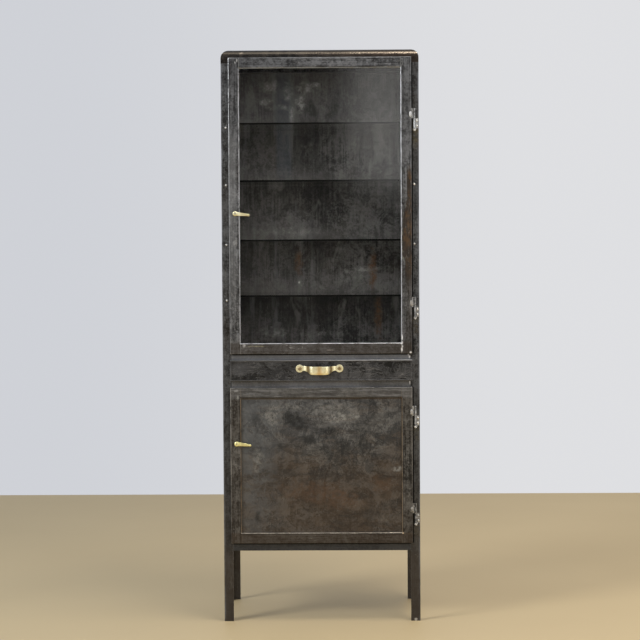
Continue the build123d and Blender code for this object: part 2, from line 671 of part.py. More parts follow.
# Drawer tray: plates welded at their edges, open on top, behind the hollow drawer front
tray_inside = (TRAY_WALL - TRAY_HALF, TRAY_HALF - TRAY_WALL)
wall_z = (TRAY_SPAN[0] + TRAY_WALL, TRAY_SPAN[1])
with BuildPart() as tray_floor:
    slab((-TRAY_HALF, TRAY_HALF), (TRAY_FRONT, TRAY_BACK), (TRAY_SPAN[0], wall_z[0]))
save(tray_floor, "drawer_tray_floor")

with BuildPart() as tray_sides:
    slab((-TRAY_HALF, tray_inside[0]), (TRAY_FRONT, TRAY_BACK), wall_z)
    slab((tray_inside[1], TRAY_HALF), (TRAY_FRONT, TRAY_BACK), wall_z)
save(tray_sides, "drawer_tray_sides")

with BuildPart() as tray_ends:
    slab(tray_inside, (TRAY_FRONT, TRAY_FRONT + TRAY_WALL), wall_z)
    slab(tray_inside, (TRAY_BACK - TRAY_WALL, TRAY_BACK), wall_z)
    with BuildSketch(forward(0, TRAY_FRONT, front_level)):
        with Locations(*screw_places):
            Circle(SCREW_RADIUS + SCREW_CLEARANCE)
    extrude(amount=-TRAY_WALL, mode=Mode.SUBTRACT)
save(tray_ends, "drawer_tray_ends")

# Drawer pull: a strap bent forward into a grip, narrow at the necks and deep in the middle
grip_half = PULL_GRIP_LENGTH / 2
strap_end = eye_x + PULL_EYE_RADIUS
shoulder = PULL_PROJECTION - PULL_CROWN
pull_top = PULL_EYE_RADIUS
with BuildPart() as pull:
    with BuildSketch(Plane((PULL_SHIFT, DRAWER_FACE, PULL_LEVEL - PULL_GRIP_DROP))):
        with BuildLine():
            FilletPolyline(
                (-strap_end, 0),
                (-PULL_NECK_END, 0),
                (-grip_half, PULL_WALL - shoulder),
                (0, PULL_WALL - PULL_PROJECTION),
                (grip_half, PULL_WALL - shoulder),
                (PULL_NECK_END, 0),
                (strap_end, 0),
                radius=PULL_BEND,
            )
            offset(amount=PULL_WALL, side=Side.RIGHT)
        make_face()
    extrude(amount=PULL_GRIP_DROP + pull_top)
    with BuildSketch(forward(PULL_SHIFT, DRAWER_FACE, PULL_LEVEL)):
        with BuildLine():
            Polyline(
                (0, PULL_GRIP_TOP),
                (grip_half, PULL_GRIP_TOP),
                (PULL_NECK_END, PULL_NECK / 2),
                (eye_x, PULL_NECK / 2),
                (eye_x, -PULL_NECK / 2),
                (PULL_NECK_END, -PULL_NECK / 2),
                (PULL_GRIP_FOOT / 2, -PULL_GRIP_DROP),
                (0, -PULL_GRIP_DROP),
                close=True,
            )
        make_face()
        mirror(about=Plane.YZ)
        with Locations((-eye_x, 0), (eye_x, 0)):
            RegularPolygon(PULL_EYE_RADIUS, 8, rotation=22.5)
    extrude(amount=PULL_PROJECTION, mode=Mode.INTERSECT)
    with BuildSketch(forward(PULL_SHIFT, DRAWER_FACE, PULL_LEVEL)):
        with Locations((-eye_x, 0), (eye_x, 0)):
            Circle(SCREW_RADIUS + SCREW_CLEARANCE)
    extrude(amount=PULL_WALL, mode=Mode.SUBTRACT)
save(pull, "drawer_pull")

# Screws and nuts of the pull, through the strap, the hollow drawer front and the tray
screw_grip = PULL_WALL + TRAY_FRONT + TRAY_WALL - DRAWER_FACE
with BuildPart() as screws:
    for x in (PULL_SHIFT - eye_x, PULL_SHIFT + eye_x):
        seat = forward(x, DRAWER_FACE - PULL_WALL, PULL_LEVEL)
        with BuildSketch(seat):
            Circle(SCREW_RADIUS)
        extrude(amount=-(screw_grip + NUT_HEIGHT + SCREW_TAIL))
        with BuildSketch(seat):
            Circle(SCREW_HEAD_RADIUS)
        head = extrude(amount=SCREW_HEAD_HEIGHT)
        fillet(head.edges().sort_by(Axis.Y)[0], SCREW_HEAD_HEIGHT * 0.7)
        with BuildSketch(seat.offset(SCREW_HEAD_HEIGHT)):
            Rectangle(2 * SCREW_HEAD_RADIUS, SCREW_SLOT)
        extrude(amount=-SCREW_HEAD_HEIGHT / 3, mode=Mode.SUBTRACT)
save(screws, "pull_screws")

with BuildPart() as nuts:
    for x in (PULL_SHIFT - eye_x, PULL_SHIFT + eye_x):
        with BuildSketch(rearward(x, TRAY_FRONT + TRAY_WALL, PULL_LEVEL)):
            RegularPolygon(NUT_RADIUS, 6)
            Circle(SCREW_RADIUS, mode=Mode.SUBTRACT)
        extrude(amount=NUT_HEIGHT)
save(nuts, "pull_nuts")
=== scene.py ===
from math import cos, radians, sin

import bmesh
import bpy
from mathutils import Matrix, Vector


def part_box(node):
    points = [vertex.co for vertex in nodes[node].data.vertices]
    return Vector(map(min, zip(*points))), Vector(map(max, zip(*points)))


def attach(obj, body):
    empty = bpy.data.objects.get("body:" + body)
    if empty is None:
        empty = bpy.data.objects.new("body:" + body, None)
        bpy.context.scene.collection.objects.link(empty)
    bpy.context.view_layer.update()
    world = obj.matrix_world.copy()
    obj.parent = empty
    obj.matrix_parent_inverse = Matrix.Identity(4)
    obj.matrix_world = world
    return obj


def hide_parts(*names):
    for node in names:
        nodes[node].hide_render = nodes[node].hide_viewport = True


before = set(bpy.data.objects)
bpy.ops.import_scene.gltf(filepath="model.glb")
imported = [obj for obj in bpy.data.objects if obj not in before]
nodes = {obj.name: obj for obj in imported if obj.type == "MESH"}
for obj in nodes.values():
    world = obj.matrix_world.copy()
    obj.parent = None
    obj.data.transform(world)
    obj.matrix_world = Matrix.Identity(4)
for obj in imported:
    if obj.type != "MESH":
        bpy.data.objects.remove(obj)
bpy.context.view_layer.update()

# Camera: stands about six and a half metres in front of the cabinet, at chest height and a little
# to the right, and looks slightly down, as the photograph was taken.
PICTURE_WIDTH = 640
FOCAL_PIXELS = 2012.4
SENSOR_WIDTH = 36
TURN, DIP, ROLL = 0.856, 2.291, -0.325
bpy.ops.object.camera_add(location=(0.0932, -6.6078, 1.2256))
camera = bpy.context.object
camera.name = "photo_camera"
camera.data.sensor_width = SENSOR_WIDTH
camera.data.lens = SENSOR_WIDTH * FOCAL_PIXELS / PICTURE_WIDTH
camera.data.clip_start = 0.1
camera.data.clip_end = 60
camera.matrix_world = (
    Matrix.Translation(camera.location)
    @ Matrix.Rotation(radians(TURN), 4, "Z")
    @ Matrix.Rotation(radians(90 - DIP), 4, "X")
    @ Matrix.Rotation(radians(ROLL), 4, "Z")
)
bpy.context.scene.camera = camera
bpy.context.scene.view_settings.view_transform = "Standard"


# Room: a plain pale floor that ends where the photograph's floor meets the wall, a pale grey world
# behind it, a large soft lamp from the left, a weaker one from the right and one overhead.
def fill(tree, made, inputs):
    """Fill a node's inputs with values, or with fields, sockets or nodes, whose first output counts."""
    for key, value in inputs.items():
        value = getattr(value, "socket", value)
        if isinstance(value, bpy.types.Node):
            value = value.outputs[0]
        if isinstance(value, bpy.types.NodeSocket):
            tree.links.new(value, made.inputs[key])
        elif made.inputs[key].type == "RGBA":
            made.inputs[key].default_value = (*value, 1.0)
        else:
            made.inputs[key].default_value = value


def add_node(tree, kind, inputs=None, **settings):
    """A shader node with its settings and its filled inputs."""
    made = tree.nodes.new("ShaderNode" + kind)
    for key, value in settings.items():
        setattr(made, key, value)
    fill(tree, made, inputs or {})
    return made


class Field:
    """A number worked out at each point, whose arithmetic adds the shader nodes for it."""

    def __init__(self, tree, socket):
        self.tree = tree
        self.socket = socket

    def calculate(self, operation, other=0.0, clamp=False):
        made = add_node(self.tree, "Math", {0: self, 1: other}, operation=operation, use_clamp=clamp)
        return Field(self.tree, made)

    def __add__(self, other):
        return self.calculate("ADD", other)

    def __sub__(self, other):
        return self.calculate("SUBTRACT", other)

    def __rsub__(self, other):
        return self * -1.0 + other

    def __mul__(self, other):
        return self.calculate("MULTIPLY", other)

    def __abs__(self):
        return self.calculate("ABSOLUTE")

    def fade(self, start, stop, low=0.0, high=1.0):
        """A smooth step of the number, from low at start to high at stop."""
        inputs = {0: self, 1: start, 2: stop, 3: low, 4: high}
        made = add_node(self.tree, "MapRange", inputs, interpolation_type="SMOOTHSTEP")
        return Field(self.tree, made)


def split(tree, vector):
    """The x, y and z of a vector."""
    return [Field(tree, part) for part in add_node(tree, "SeparateXYZ", {0: vector}).outputs]


def noise(tree, vector, scale, detail=4.0, roughness=0.6, distortion=0.0):
    inputs = {
        "Vector": vector, "Scale": scale, "Detail": detail, "Roughness": roughness, "Distortion": distortion
    }
    return Field(tree, add_node(tree, "TexNoise", inputs))


def blend_colour(tree, share, first, second):
    """The first colour where share is 0 and the second where it is 1."""
    mixed = add_node(tree, "Mix", {0: share, 6: first, 7: second}, data_type="RGBA", clamp_factor=True)
    return mixed.outputs[2]


def new_material(name):
    """An empty material with its tree and its Principled shader."""
    material = bpy.data.materials.new(name)
    material.use_nodes = True
    tree = material.node_tree
    return material, tree, tree.nodes["Principled BSDF"]


FLOOR_BACK = 3.05
FLOOR_FRONT = -9.0
FLOOR_HALF_WIDTH = 7.0
bpy.ops.mesh.primitive_plane_add(size=2)
floor = bpy.context.object
floor.name = "floor"
floor.data.transform(
    Matrix.Translation((0, (FLOOR_BACK + FLOOR_FRONT) / 2, 0))
    @ Matrix.Diagonal((FLOOR_HALF_WIDTH, (FLOOR_BACK - FLOOR_FRONT) / 2, 1, 1))
)
floor_paint, tree, shader = new_material("pale_floor")
spot = add_node(tree, "TexCoord").outputs["Object"]
cloud = noise(tree, spot, 1.2, 3.0, 0.5)
left_tone = blend_colour(tree, cloud, (0.48, 0.38, 0.22), (0.55, 0.44, 0.26))
right_tone = blend_colour(tree, cloud, (0.67, 0.5, 0.265), (0.75, 0.575, 0.32))
floor_tone = blend_colour(tree, split(tree, spot)[0].fade(-1.6, 1.6), left_tone, right_tone)
fill(tree, shader, {"Base Color": floor_tone, "Roughness": 0.55})
floor.data.materials.append(floor_paint)

world = bpy.data.worlds.new("studio")
bpy.context.scene.world = world
world.use_nodes = True
tree = world.node_tree
rightward, backward, upward = split(tree, add_node(tree, "TexCoord").outputs["Generated"])
wall = blend_colour(tree, rightward.fade(-0.16, 0.1), (0.625, 0.64, 0.68), (0.735, 0.74, 0.76))
seen = add_node(tree, "Background", {"Color": wall, "Strength": 1.0})
# Seen in gloss, the room straight in front of the cabinet is dark, with a light wall up on the
# right that the pane mirrors.
light_wall = rightward.fade(-0.02, 0.022) * upward.fade(0.0, 0.052)
frontal = backward.fade(-0.97, -0.995)
room_light = add_node(tree, "Mix", {0: frontal, 2: 0.55, 3: light_wall.fade(0.0, 1.0, 0.04, 1.16)})
room_tint = blend_colour(tree, frontal, (0.95, 0.975, 1.0), (1.0, 0.985, 0.955))
mirrored = add_node(tree, "Background", {"Color": room_tint, "Strength": room_light})
soft = add_node(tree, "Background", {"Color": (0.96, 0.98, 1.0), "Strength": 0.5})
path = {socket.name: Field(tree, socket) for socket in add_node(tree, "LightPath").outputs}
gloss = add_node(tree, "MixShader", {0: path["Is Glossy Ray"], 1: soft, 2: mirrored})
# Through the pane the wall is seen only by the camera's own rays, so it doesn't light the inside.
bounces = path["Diffuse Depth"] + path["Glossy Depth"]
through = path["Is Transmission Ray"] * bounces.calculate("LESS_THAN", 0.5)
direct = through.calculate("MAXIMUM", path["Is Camera Ray"])
both = add_node(tree, "MixShader", {0: direct, 1: gloss, 2: seen})
fill(tree, tree.nodes["World Output"], {"Surface": both})


def add_lamp(name, place, aim, width, height, watts, tint):
    """A soft rectangular lamp that looks at a point."""
    bpy.ops.object.light_add(type="AREA", location=place)
    lamp = bpy.context.object
    lamp.name = name
    lamp.data.shape = "RECTANGLE"
    lamp.data.size = width
    lamp.data.size_y = height
    lamp.data.energy = watts
    lamp.data.color = tint
    lamp.rotation_euler = (Vector(aim) - Vector(place)).to_track_quat("-Z", "Y").to_euler()


add_lamp("window_lamp", (-3.6, -3.2, 2.9), (0, 0, 1.0), 1.6, 2.0, 150, (0.97, 0.99, 1.0))
add_lamp("fill_lamp", (3.0, -4.6, 2.2), (0, 0, 1.0), 2.4, 2.4, 60, (1.0, 0.98, 0.95))
add_lamp("ceiling_lamp", (0.9, -0.9, 4.4), (0, -0.1, 1.2), 1.6, 0.35, 45, (1.0, 0.93, 0.84))


# Corner posts: four lengths of 30 mm angle iron, stripped to bare steel, darkened and waxed, and
# welded to the rails. Old paint and rust left a mottled skin with brown patches and rubbed edges.
def start_group(name, inputs, outputs):
    """An empty node group with named sockets, its inputs as fields, and its output node."""
    group = bpy.data.node_groups.new(name, "ShaderNodeTree")
    for side, sockets in (("INPUT", inputs), ("OUTPUT", outputs)):
        for label, kind in sockets.items():
            group.interface.new_socket(label, in_out=side, socket_type="NodeSocket" + kind)
    given = {socket.name: Field(group, socket) for socket in group.nodes.new("NodeGroupInput").outputs}
    return group, given, group.nodes.new("NodeGroupOutput")


def use_group(tree, group, inputs):
    """The outputs of a node group that is used in a material."""
    made = tree.nodes.new("ShaderNodeGroup")
    made.node_tree = group
    fill(tree, made, inputs)
    return {socket.name: Field(tree, socket) for socket in made.outputs}


def stretched(tree, vector, factors):
    return add_node(tree, "VectorMath", {0: vector, 1: factors}, operation="MULTIPLY")


patina, given, made = start_group(
    "steel_patina",
    {
        "Place": "Vector",
        "Dark": "Color",
        "Light": "Color",
        "Brown": "Color",
        "Brown Share": "Float",
        "Brushing": "Float",
        "Crust": "Float",
    },
    {"Color": "Color", "Roughness": "Float", "Height": "Float"},
)
place = given["Place"]
cloud = noise(patina, place, 6.5, 8.0, 0.66, 0.5) - 0.5
mottle = noise(patina, place, 48.0, 8.0, 0.74, 0.3)
edge = noise(patina, place, 10.0, 10.0, 0.7, 1.3)
grain = noise(patina, place, 170.0, 4.0, 0.7) - 0.5
wide_brush = noise(patina, stretched(patina, place, (75.0, 75.0, 3.0)), 1.0, 6.0, 0.66) - 0.5
fine_brush = noise(patina, stretched(patina, place, (310.0, 310.0, 8.0)), 1.0, 4.0, 0.6) - 0.5
brushed = (wide_brush * 0.9 + fine_brush) * given["Brushing"]
crusted = (edge.fade(0.485, 0.53) - 0.5) * 0.32 + abs(edge - 0.507).fade(0.011, 0.002) * 0.16
tone = cloud * 0.75 + (mottle - 0.5) * 1.15 + grain * 0.95 + crusted * given["Crust"] + brushed + 0.5
skin = blend_colour(patina, tone.fade(0.24, 0.8), given["Dark"], given["Light"])
pits = noise(patina, place, 85.0, 5.0, 0.7).fade(0.38, 0.3, 0.0, 0.65)
skin = blend_colour(patina, pits, skin, (0.012, 0.011, 0.01))
brown = noise(patina, place, 3.1, 8.0, 0.68, 0.8).fade(0.42, 0.66) * given["Brown Share"]
skin = blend_colour(patina, brown, skin, given["Brown"])
flecks = noise(patina, place, 130.0, 8.0, 0.8).fade(0.585, 0.67) * 0.4
flecks = flecks * noise(patina, place, 14.0, 5.0, 0.65).fade(0.46, 0.6)
pale = add_node(patina, "VectorMath", {0: given["Light"], 3: 2.2}, operation="SCALE")
outputs = {
    "Color": blend_colour(patina, flecks, skin, pale),
    "Roughness": mottle * 0.26 + brown * 0.12 + 0.27,
    "Height": (mottle - 0.5) * 0.55 + grain * 0.2 + brushed * 0.3 + cloud * 0.8,
}
fill(patina, made, outputs)

worn, given, made = start_group(
    "worn_edges", {"Place": "Vector", "Radius": "Float", "Strength": "Float"}, {"Mask": "Float"}
)
rounded = add_node(worn, "Bevel", {"Radius": given["Radius"]}, samples=6)
flat = add_node(worn, "NewGeometry").outputs["Normal"]
turned = add_node(worn, "VectorMath", {0: rounded, 1: flat}, operation="DOT_PRODUCT").outputs["Value"]
broken = noise(worn, given["Place"], 60.0, 5.0, 0.7).fade(0.38, 0.62, 0.25, 1.0)
edge = Field(worn, turned).fade(0.985, 0.8) * broken
fill(worn, made, {"Mask": edge.calculate("MULTIPLY", given["Strength"], clamp=True)})

scuffs, given, made = start_group(
    "fine_scratches", {"Place": "Vector", "Amount": "Float"}, {"Mask": "Float"}
)
lines = noise(scuffs, stretched(scuffs, given["Place"], (70.0, 70.0, 9.0)), 1.0, 2.0, 0.5, 1.6)
patchy = noise(scuffs, given["Place"], 11.0, 4.0, 0.6).fade(0.5, 0.64)
fill(scuffs, made, {"Mask": abs(lines - 0.5).fade(0.012, 0.0) * patchy * given["Amount"]})


BRIGHT_STEEL = (0.42, 0.41, 0.4)


class Steel:
    """A steel finish under work: patina first, then marks laid over it, then the shader.

    The face of its blotches is given by its y in metres and by how deep they reach there.
    """

    def __init__(
        self, name, dark, light, brown, share=0.3, brushing=0.3, crust=0.2,
        shift=(0, 0, 0), turn=(0, 0, 0), lying=None, face=None,
    ):
        self.material, self.tree, self.shader = new_material(name)
        self.face = face
        self.spot = add_node(self.tree, "TexCoord").outputs["Object"]
        self.x, self.y, self.z = split(self.tree, self.spot)
        inputs = {"Vector": self.spot, "Location": shift, "Rotation": [radians(angle) for angle in turn]}
        self.place = add_node(self.tree, "Mapping", inputs)
        if lying:
            # Where the mask is white the brushing runs along X instead of Z.
            inputs = {"Vector": self.place, "Rotation": (0, radians(90), 0)}
            across = add_node(self.tree, "Mapping", inputs)
            inputs = {0: lying(self), 4: self.place, 5: across}
            mixed = add_node(self.tree, "Mix", inputs, data_type="VECTOR")
            self.place = mixed.outputs[1]
        inputs = {
            "Place": self.place,
            "Dark": dark,
            "Light": light,
            "Brown": brown,
            "Brown Share": share,
            "Brushing": brushing(self) if callable(brushing) else brushing,
            "Crust": crust(self) if callable(crust) else crust,
        }
        skin = use_group(self.tree, patina, inputs)
        self.colour, self.roughness, self.height = skin["Color"], skin["Roughness"], skin["Height"]

    def noise(self, scale, detail, roughness, distortion=0.0, stretch=None, over=None):
        """A noise over the piece's own place or over another vector, drawn out where asked."""
        vector = self.spot if over is None else over
        if stretch:
            vector = stretched(self.tree, vector, stretch)
        return noise(self.tree, vector, scale, detail, roughness, distortion)

    def lay(self, mask, tint, strength=1.0, rough=None):
        """Lay a colour over the finish where the mask is white."""
        mask = mask.calculate("MULTIPLY", strength, clamp=True)
        self.colour = blend_colour(self.tree, mask, self.colour, tint)
        if rough is not None:
            mixed = add_node(self.tree, "Mix", {0: mask, 2: self.roughness, 3: rough})
            self.roughness = Field(self.tree, mixed)

    def wear(self, strength, tint=BRIGHT_STEEL, radius=0.0012):
        """Rub the edges bright."""
        inputs = {"Place": self.place, "Radius": radius, "Strength": strength}
        self.lay(use_group(self.tree, worn, inputs)["Mask"], tint, 1.0, 0.28)

    def scratch(self, tint, amount):
        self.lay(use_group(self.tree, scuffs, {"Place": self.place, "Amount": amount})["Mask"], tint)

    def away(self, centre, reach):
        """The distance from a point, counted in reaches along each axis."""
        off = add_node(self.tree, "VectorMath", {0: self.spot, 1: centre}, operation="SUBTRACT")
        off = add_node(self.tree, "VectorMath", {0: off, 1: reach}, operation="DIVIDE")
        length = add_node(self.tree, "VectorMath", {0: off}, operation="LENGTH").outputs["Value"]
        return Field(self.tree, length)

    def blotches(self, rows, tint, ragged=0.5, thin=0.08, grit=120.0, face=None):
        """Soft ragged patches: x, z, half width and half height in millimetres, then strength.

        Thin is the cover between their crumbs, and grit is how fine the crumbs are.
        """
        y, depth = face or self.face
        for x, z, wide, tall, strength in rows:
            far = self.away((x / 1000, y, z / 1000), (wide / 1000, depth, tall / 1000))
            far = far + (self.noise(42.0, 6.0, 0.68) * (3.2 * ragged) - 1.6 * ragged)
            crumbs = self.noise(grit, 8.0, 0.8).fade(0.44, 0.44 + 13.2 / grit, thin, 1.0)
            self.lay(far.fade(1.15, 0.25) * crumbs, tint, strength)

    def finish(self, metal=0.7, bump=0.3, coat=0.15, polish=0.0):
        """Wire the shader, and return the material."""
        relief = add_node(self.tree, "Bump", {"Strength": bump, "Distance": 0.0012, "Height": self.height})
        inputs = {
            "Base Color": self.colour,
            "Roughness": self.roughness - polish if polish else self.roughness,
            "Normal": relief,
            "Metallic": metal,
            "Coat Weight": coat,
            "Coat Roughness": 0.3,
        }
        fill(self.tree, self.shader, inputs)
        return self.material


def dress(material, *names):
    """Give a material to CAD nodes."""
    for name in names:
        for slot in nodes[name].material_slots:
            slot.material = material


# Black painted shade for the gaps beside and under the doors
BLACK_SHADE = (0.002, 0.002, 0.002)
FRAME_FACE = (-0.181, 0.02)
HINGE_STAINS = (
    (304, 1564, 18, 55, 0.5),
    (304, 964, 18, 55, 0.25),
    (304, 616, 18, 55, 0.25),
    (304, 303, 18, 55, 0.25),
)
for name, shift in (
    ("front_left_post", (0, 0, 0)),
    ("front_right_post", (3.1, 1.7, 0.4)),
    ("rear_left_post", (1.9, 4.2, 2.3)),
    ("rear_right_post", (5.2, 0.8, 1.1)),
):
    post = Steel(
        name, (0.01, 0.01, 0.01), (0.138, 0.143, 0.151), (0.04, 0.028, 0.02), 0.35,
        brushing=0.5, shift=shift, face=FRAME_FACE,
    )
    x, z = post.x, post.z
    # The posts are darker downwards from the drawer, and browner below the cupboard.
    post.lay(z.fade(0.9, 0.7), (0.034, 0.034, 0.035), 0.45)
    post.lay(z.fade(0.6, 0.15), (0.038, 0.032, 0.027), 0.6)
    post.lay(z.fade(0.25, 0.2), (0.085, 0.066, 0.05), 0.25)
    post.lay(z.fade(1.69, 1.73), (0.03, 0.03, 0.032), 0.2)
    # Hammer scale and grinder marks near the top of the posts
    scale_marks = post.noise(150.0, 4.0, 0.7, stretch=(1.0, 1.0, 0.35), over=post.place).fade(0.6, 0.72)
    post.lay(scale_marks * z.fade(0.9, 1.75), (0.26, 0.26, 0.26), 0.7)
    # The outer rounded corner is laid in a cooler, lighter grey.
    corner_band = post.noise(55.0, 6.0, 0.7, stretch=(1.0, 1.0, 0.25), over=post.place).fade(0.35, 0.62)
    post.lay(abs(x).fade(0.3085, 0.314) * corner_band, (0.19, 0.2, 0.22), 0.75)
    post.wear(0.75)
    post.scratch((0.22, 0.21, 0.2), 0.6)
    if name == "front_right_post":
        # A black painted shadow lies on the post in the corner beside the doors' hinge edges, where the
        # doors stand proud of it.
        door_edge_shadow = x.fade(0.2962, 0.2948) * x.fade(0.2895, 0.29)
        door_edge_shadow = door_edge_shadow * abs(z - 0.807).fade(0.05, 0.056) * z.fade(0.25, 0.254)
        post.lay(door_edge_shadow, BLACK_SHADE, 1.0, 0.8)
        # Oil and rubbed rust run down from the hinges, and the foot is chipped.
        post.blotches(HINGE_STAINS, (0.15, 0.12, 0.06))
        post.lay(z.fade(1.33, 1.36) * z.fade(1.52, 1.48), (0.02, 0.02, 0.02), 0.3)
        post.blotches([(300, 5, 6, 5, 0.95)], (0.7, 0.69, 0.66), 0.5, 0.5)
    dress(post.finish(0.75, 0.35), name)

# Rails: the same angle iron, cut between the posts and welded in rings under the lower cupboard,
# under the drawer, under the glazed cupboard and inside the cap.
along = Steel(
    "rail_steel", (0.02, 0.019, 0.019), (0.17, 0.172, 0.175), (0.05, 0.038, 0.03), 0.25,
    brushing=0.5, turn=(0, 90, 0), face=FRAME_FACE,
)
x, z = along.x, along.z
along.wear(0.8)
along.scratch((0.24, 0.23, 0.22), 0.6)
along.lay(z.fade(0.4, 0.26), (0.027, 0.028, 0.031), 0.8)
along.lay(z.fade(0.834, 0.838) * z.fade(0.87, 0.866), (0.205, 0.212, 0.232), 0.6)
divider = abs(z - 0.763).fade(0.018, 0.014)
along.lay(divider, (0.175, 0.178, 0.188), 0.45)
along.lay(divider * abs(x).fade(0.16, 0.08), (0.22, 0.225, 0.245), 0.3)
along.lay(divider * x.fade(0.1, 0.18), (0.06, 0.058, 0.056), 0.3)
# Painted shade lies black on the rails under the lower edge of each door, and weld spattered the right
# ends.
DOOR_FEET = (0.861, 0.253)
for foot in DOOR_FEET:
    shade_under_door = z.fade(foot - 0.0052, foot - 0.0044) * z.fade(foot, foot - 0.0006)
    along.lay(shade_under_door * along.y.fade(-0.17, -0.18), BLACK_SHADE, 0.9, 0.8)
RAIL_SPATTER = (
    (283, 850, 4, 6, 0.95),
    (279, 856, 3, 4, 0.95),
    (284, 771, 3, 10, 0.95),
)
along.blotches(RAIL_SPATTER, (0.75, 0.75, 0.76), 0.35, 0.6)
rail_steel = along.finish(0.75)
for level in ("bottom", "divider", "deck", "head"):
    dress(rail_steel, f"{level}_rail_front", f"{level}_rail_rear")

deep = Steel(
    "side_rail_steel", (0.016, 0.015, 0.014), (0.12, 0.12, 0.12), (0.05, 0.036, 0.026), 0.4, turn=(90, 0, 0)
)
deep.wear(0.7)
side_rail_steel = deep.finish(0.75)
for level in ("bottom", "deck", "head"):
    dress(side_rail_steel, f"{level}_rail_left", f"{level}_rail_right")

# Weld beads: the rails are welded to the posts in the inner corners of the angle iron. Each bead is
# a row of overlapping drops, made once and copied to the ends of three front rails and a rear one.
BEAD_RADIUS = 0.0026
BEAD_LENGTH = 0.026
BEAD_DROPS = 14
BEAD_INSET = 0.003


def only(piece):
    """Select one object and nothing else."""
    bpy.ops.object.select_all(action="DESELECT")
    piece.select_set(True)
    bpy.context.view_layer.objects.active = piece


def edit_all():
    """Go into edit mode with the whole mesh selected."""
    bpy.ops.object.mode_set(mode="EDIT")
    bpy.ops.mesh.select_all(action="SELECT")


def leave_edit():
    bpy.ops.object.mode_set(mode="OBJECT")


def apply_modifier(piece, kind, **settings):
    modifier = piece.modifiers.new(kind.lower(), kind)
    for key, value in settings.items():
        setattr(modifier, key, value)
    only(piece)
    bpy.ops.object.modifier_apply(modifier=modifier.name)


def move_mesh(piece, shift):
    """Carry the whole mesh in edit mode, so that the object stays at the origin."""
    only(piece)
    edit_all()
    bpy.ops.transform.translate(value=shift)
    leave_edit()


def copy_piece(piece, name, shift):
    """A copy with its own mesh, moved to its place."""
    only(piece)
    bpy.ops.object.duplicate(linked=False)
    copy = bpy.context.object
    copy.name = name
    move_mesh(copy, shift)
    return copy


bpy.ops.object.select_all(action="DESELECT")
bpy.ops.mesh.primitive_uv_sphere_add(segments=16, ring_count=8, radius=BEAD_RADIUS)
bead = bpy.context.object
bead.name = "frame_weld_master"
edit_all()
bpy.ops.transform.resize(value=(1.0, 1.0, 0.55))
bpy.ops.transform.rotate(value=radians(20), orient_axis="Y", center_override=(0, 0, 0))
leave_edit()
step = (BEAD_LENGTH - 2 * BEAD_RADIUS) / (BEAD_DROPS - 1)
apply_modifier(
    bead, "ARRAY", count=BEAD_DROPS, use_relative_offset=False, use_constant_offset=True,
    constant_offset_displace=(0, 0, step),
)
apply_modifier(bead, "REMESH", mode="VOXEL", voxel_size=0.0006)
apply_modifier(bead, "SMOOTH", factor=0.5, iterations=3)
bpy.ops.object.shade_smooth()
weld = Steel("weld_steel", (0.16, 0.155, 0.15), (0.62, 0.61, 0.6), (0.11, 0.08, 0.05), 0.3)
weld_steel = weld.finish(0.85, 0.4)
bead.data.materials.append(weld_steel)
for rail in ("bottom_rail_front", "divider_rail_front", "deck_rail_front", "bottom_rail_rear"):
    low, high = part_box(rail)
    inner_y = low.y + BEAD_INSET if rail.endswith("front") else high.y - BEAD_INSET
    foot = low.z + (high.z - low.z - BEAD_LENGTH) / 2 + BEAD_RADIUS
    for end, x in (("left", low.x), ("right", high.x)):
        piece = copy_piece(bead, f"{rail}_weld_{end}", (x, inner_y, foot))
        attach(piece, "cabinet")
bpy.data.objects.remove(bead)

# Cap: a pressed steel tray turned over on the posts, with round upper edges. It is the brownest
# part, and along its rounded front edge lies a painted highlight line, on a glossier finish.
CAP_HIGHLIGHT = (0.62, 0.52, 0.4)
top = Steel(
    "cap_steel", (0.006, 0.005, 0.004), (0.052, 0.042, 0.034), (0.05, 0.03, 0.018), 0.5,
    turn=(0, 90, 0), face=(-0.18, 0.02),
)
# A painted highlight line along the rounded front edge, brighter to the right, and a painted highlight spot
# near its left end
broken = top.noise(30.0, 6.0, 0.7, stretch=(0.3, 1.0, 1.0)).fade(0.35, 0.55, 0.5, 1.0)
polished = top.z.fade(1.815, 1.8185) * top.z.fade(1.8235, 1.8215) * broken
top.lay(polished * top.x.fade(-0.28, 0.1, 0.3, 0.4), CAP_HIGHLIGHT, 0.9, 0.25)
top.blotches([(-250, 1820, 8, 4, 0.9)], CAP_HIGHLIGHT, 0.3)
top.wear(0.5, (0.22, 0.18, 0.14))
top.scratch((0.2, 0.17, 0.14), 0.7)
dress(top.finish(0.85, 0.2, 0.25, 0.12), "top_cap")

# Sheets: sides, back and cupboard floors of thin steel sheet, welded inside the posts. Inside, the
# back shows pale wiped smudges and a few runs of rust.
sheet = Steel(
    "sheet_steel", (0.018, 0.017, 0.016), (0.105, 0.103, 0.099), (0.05, 0.036, 0.026), 0.4,
    brushing=0.4, crust=0.12,
)
sheet.wear(0.5)
sheet.scratch((0.2, 0.19, 0.18), 0.8)
dress(sheet.finish(), "left_side_panel", "right_side_panel")

floor_sheet = Steel(
    "cupboard_floor_steel", (0.02, 0.019, 0.018), (0.12, 0.117, 0.11), (0.065, 0.044, 0.028), 0.45
)
floor_sheet.scratch((0.22, 0.21, 0.2), 1.0)
dress(floor_sheet.finish(), "bottom_panel", "deck_panel")

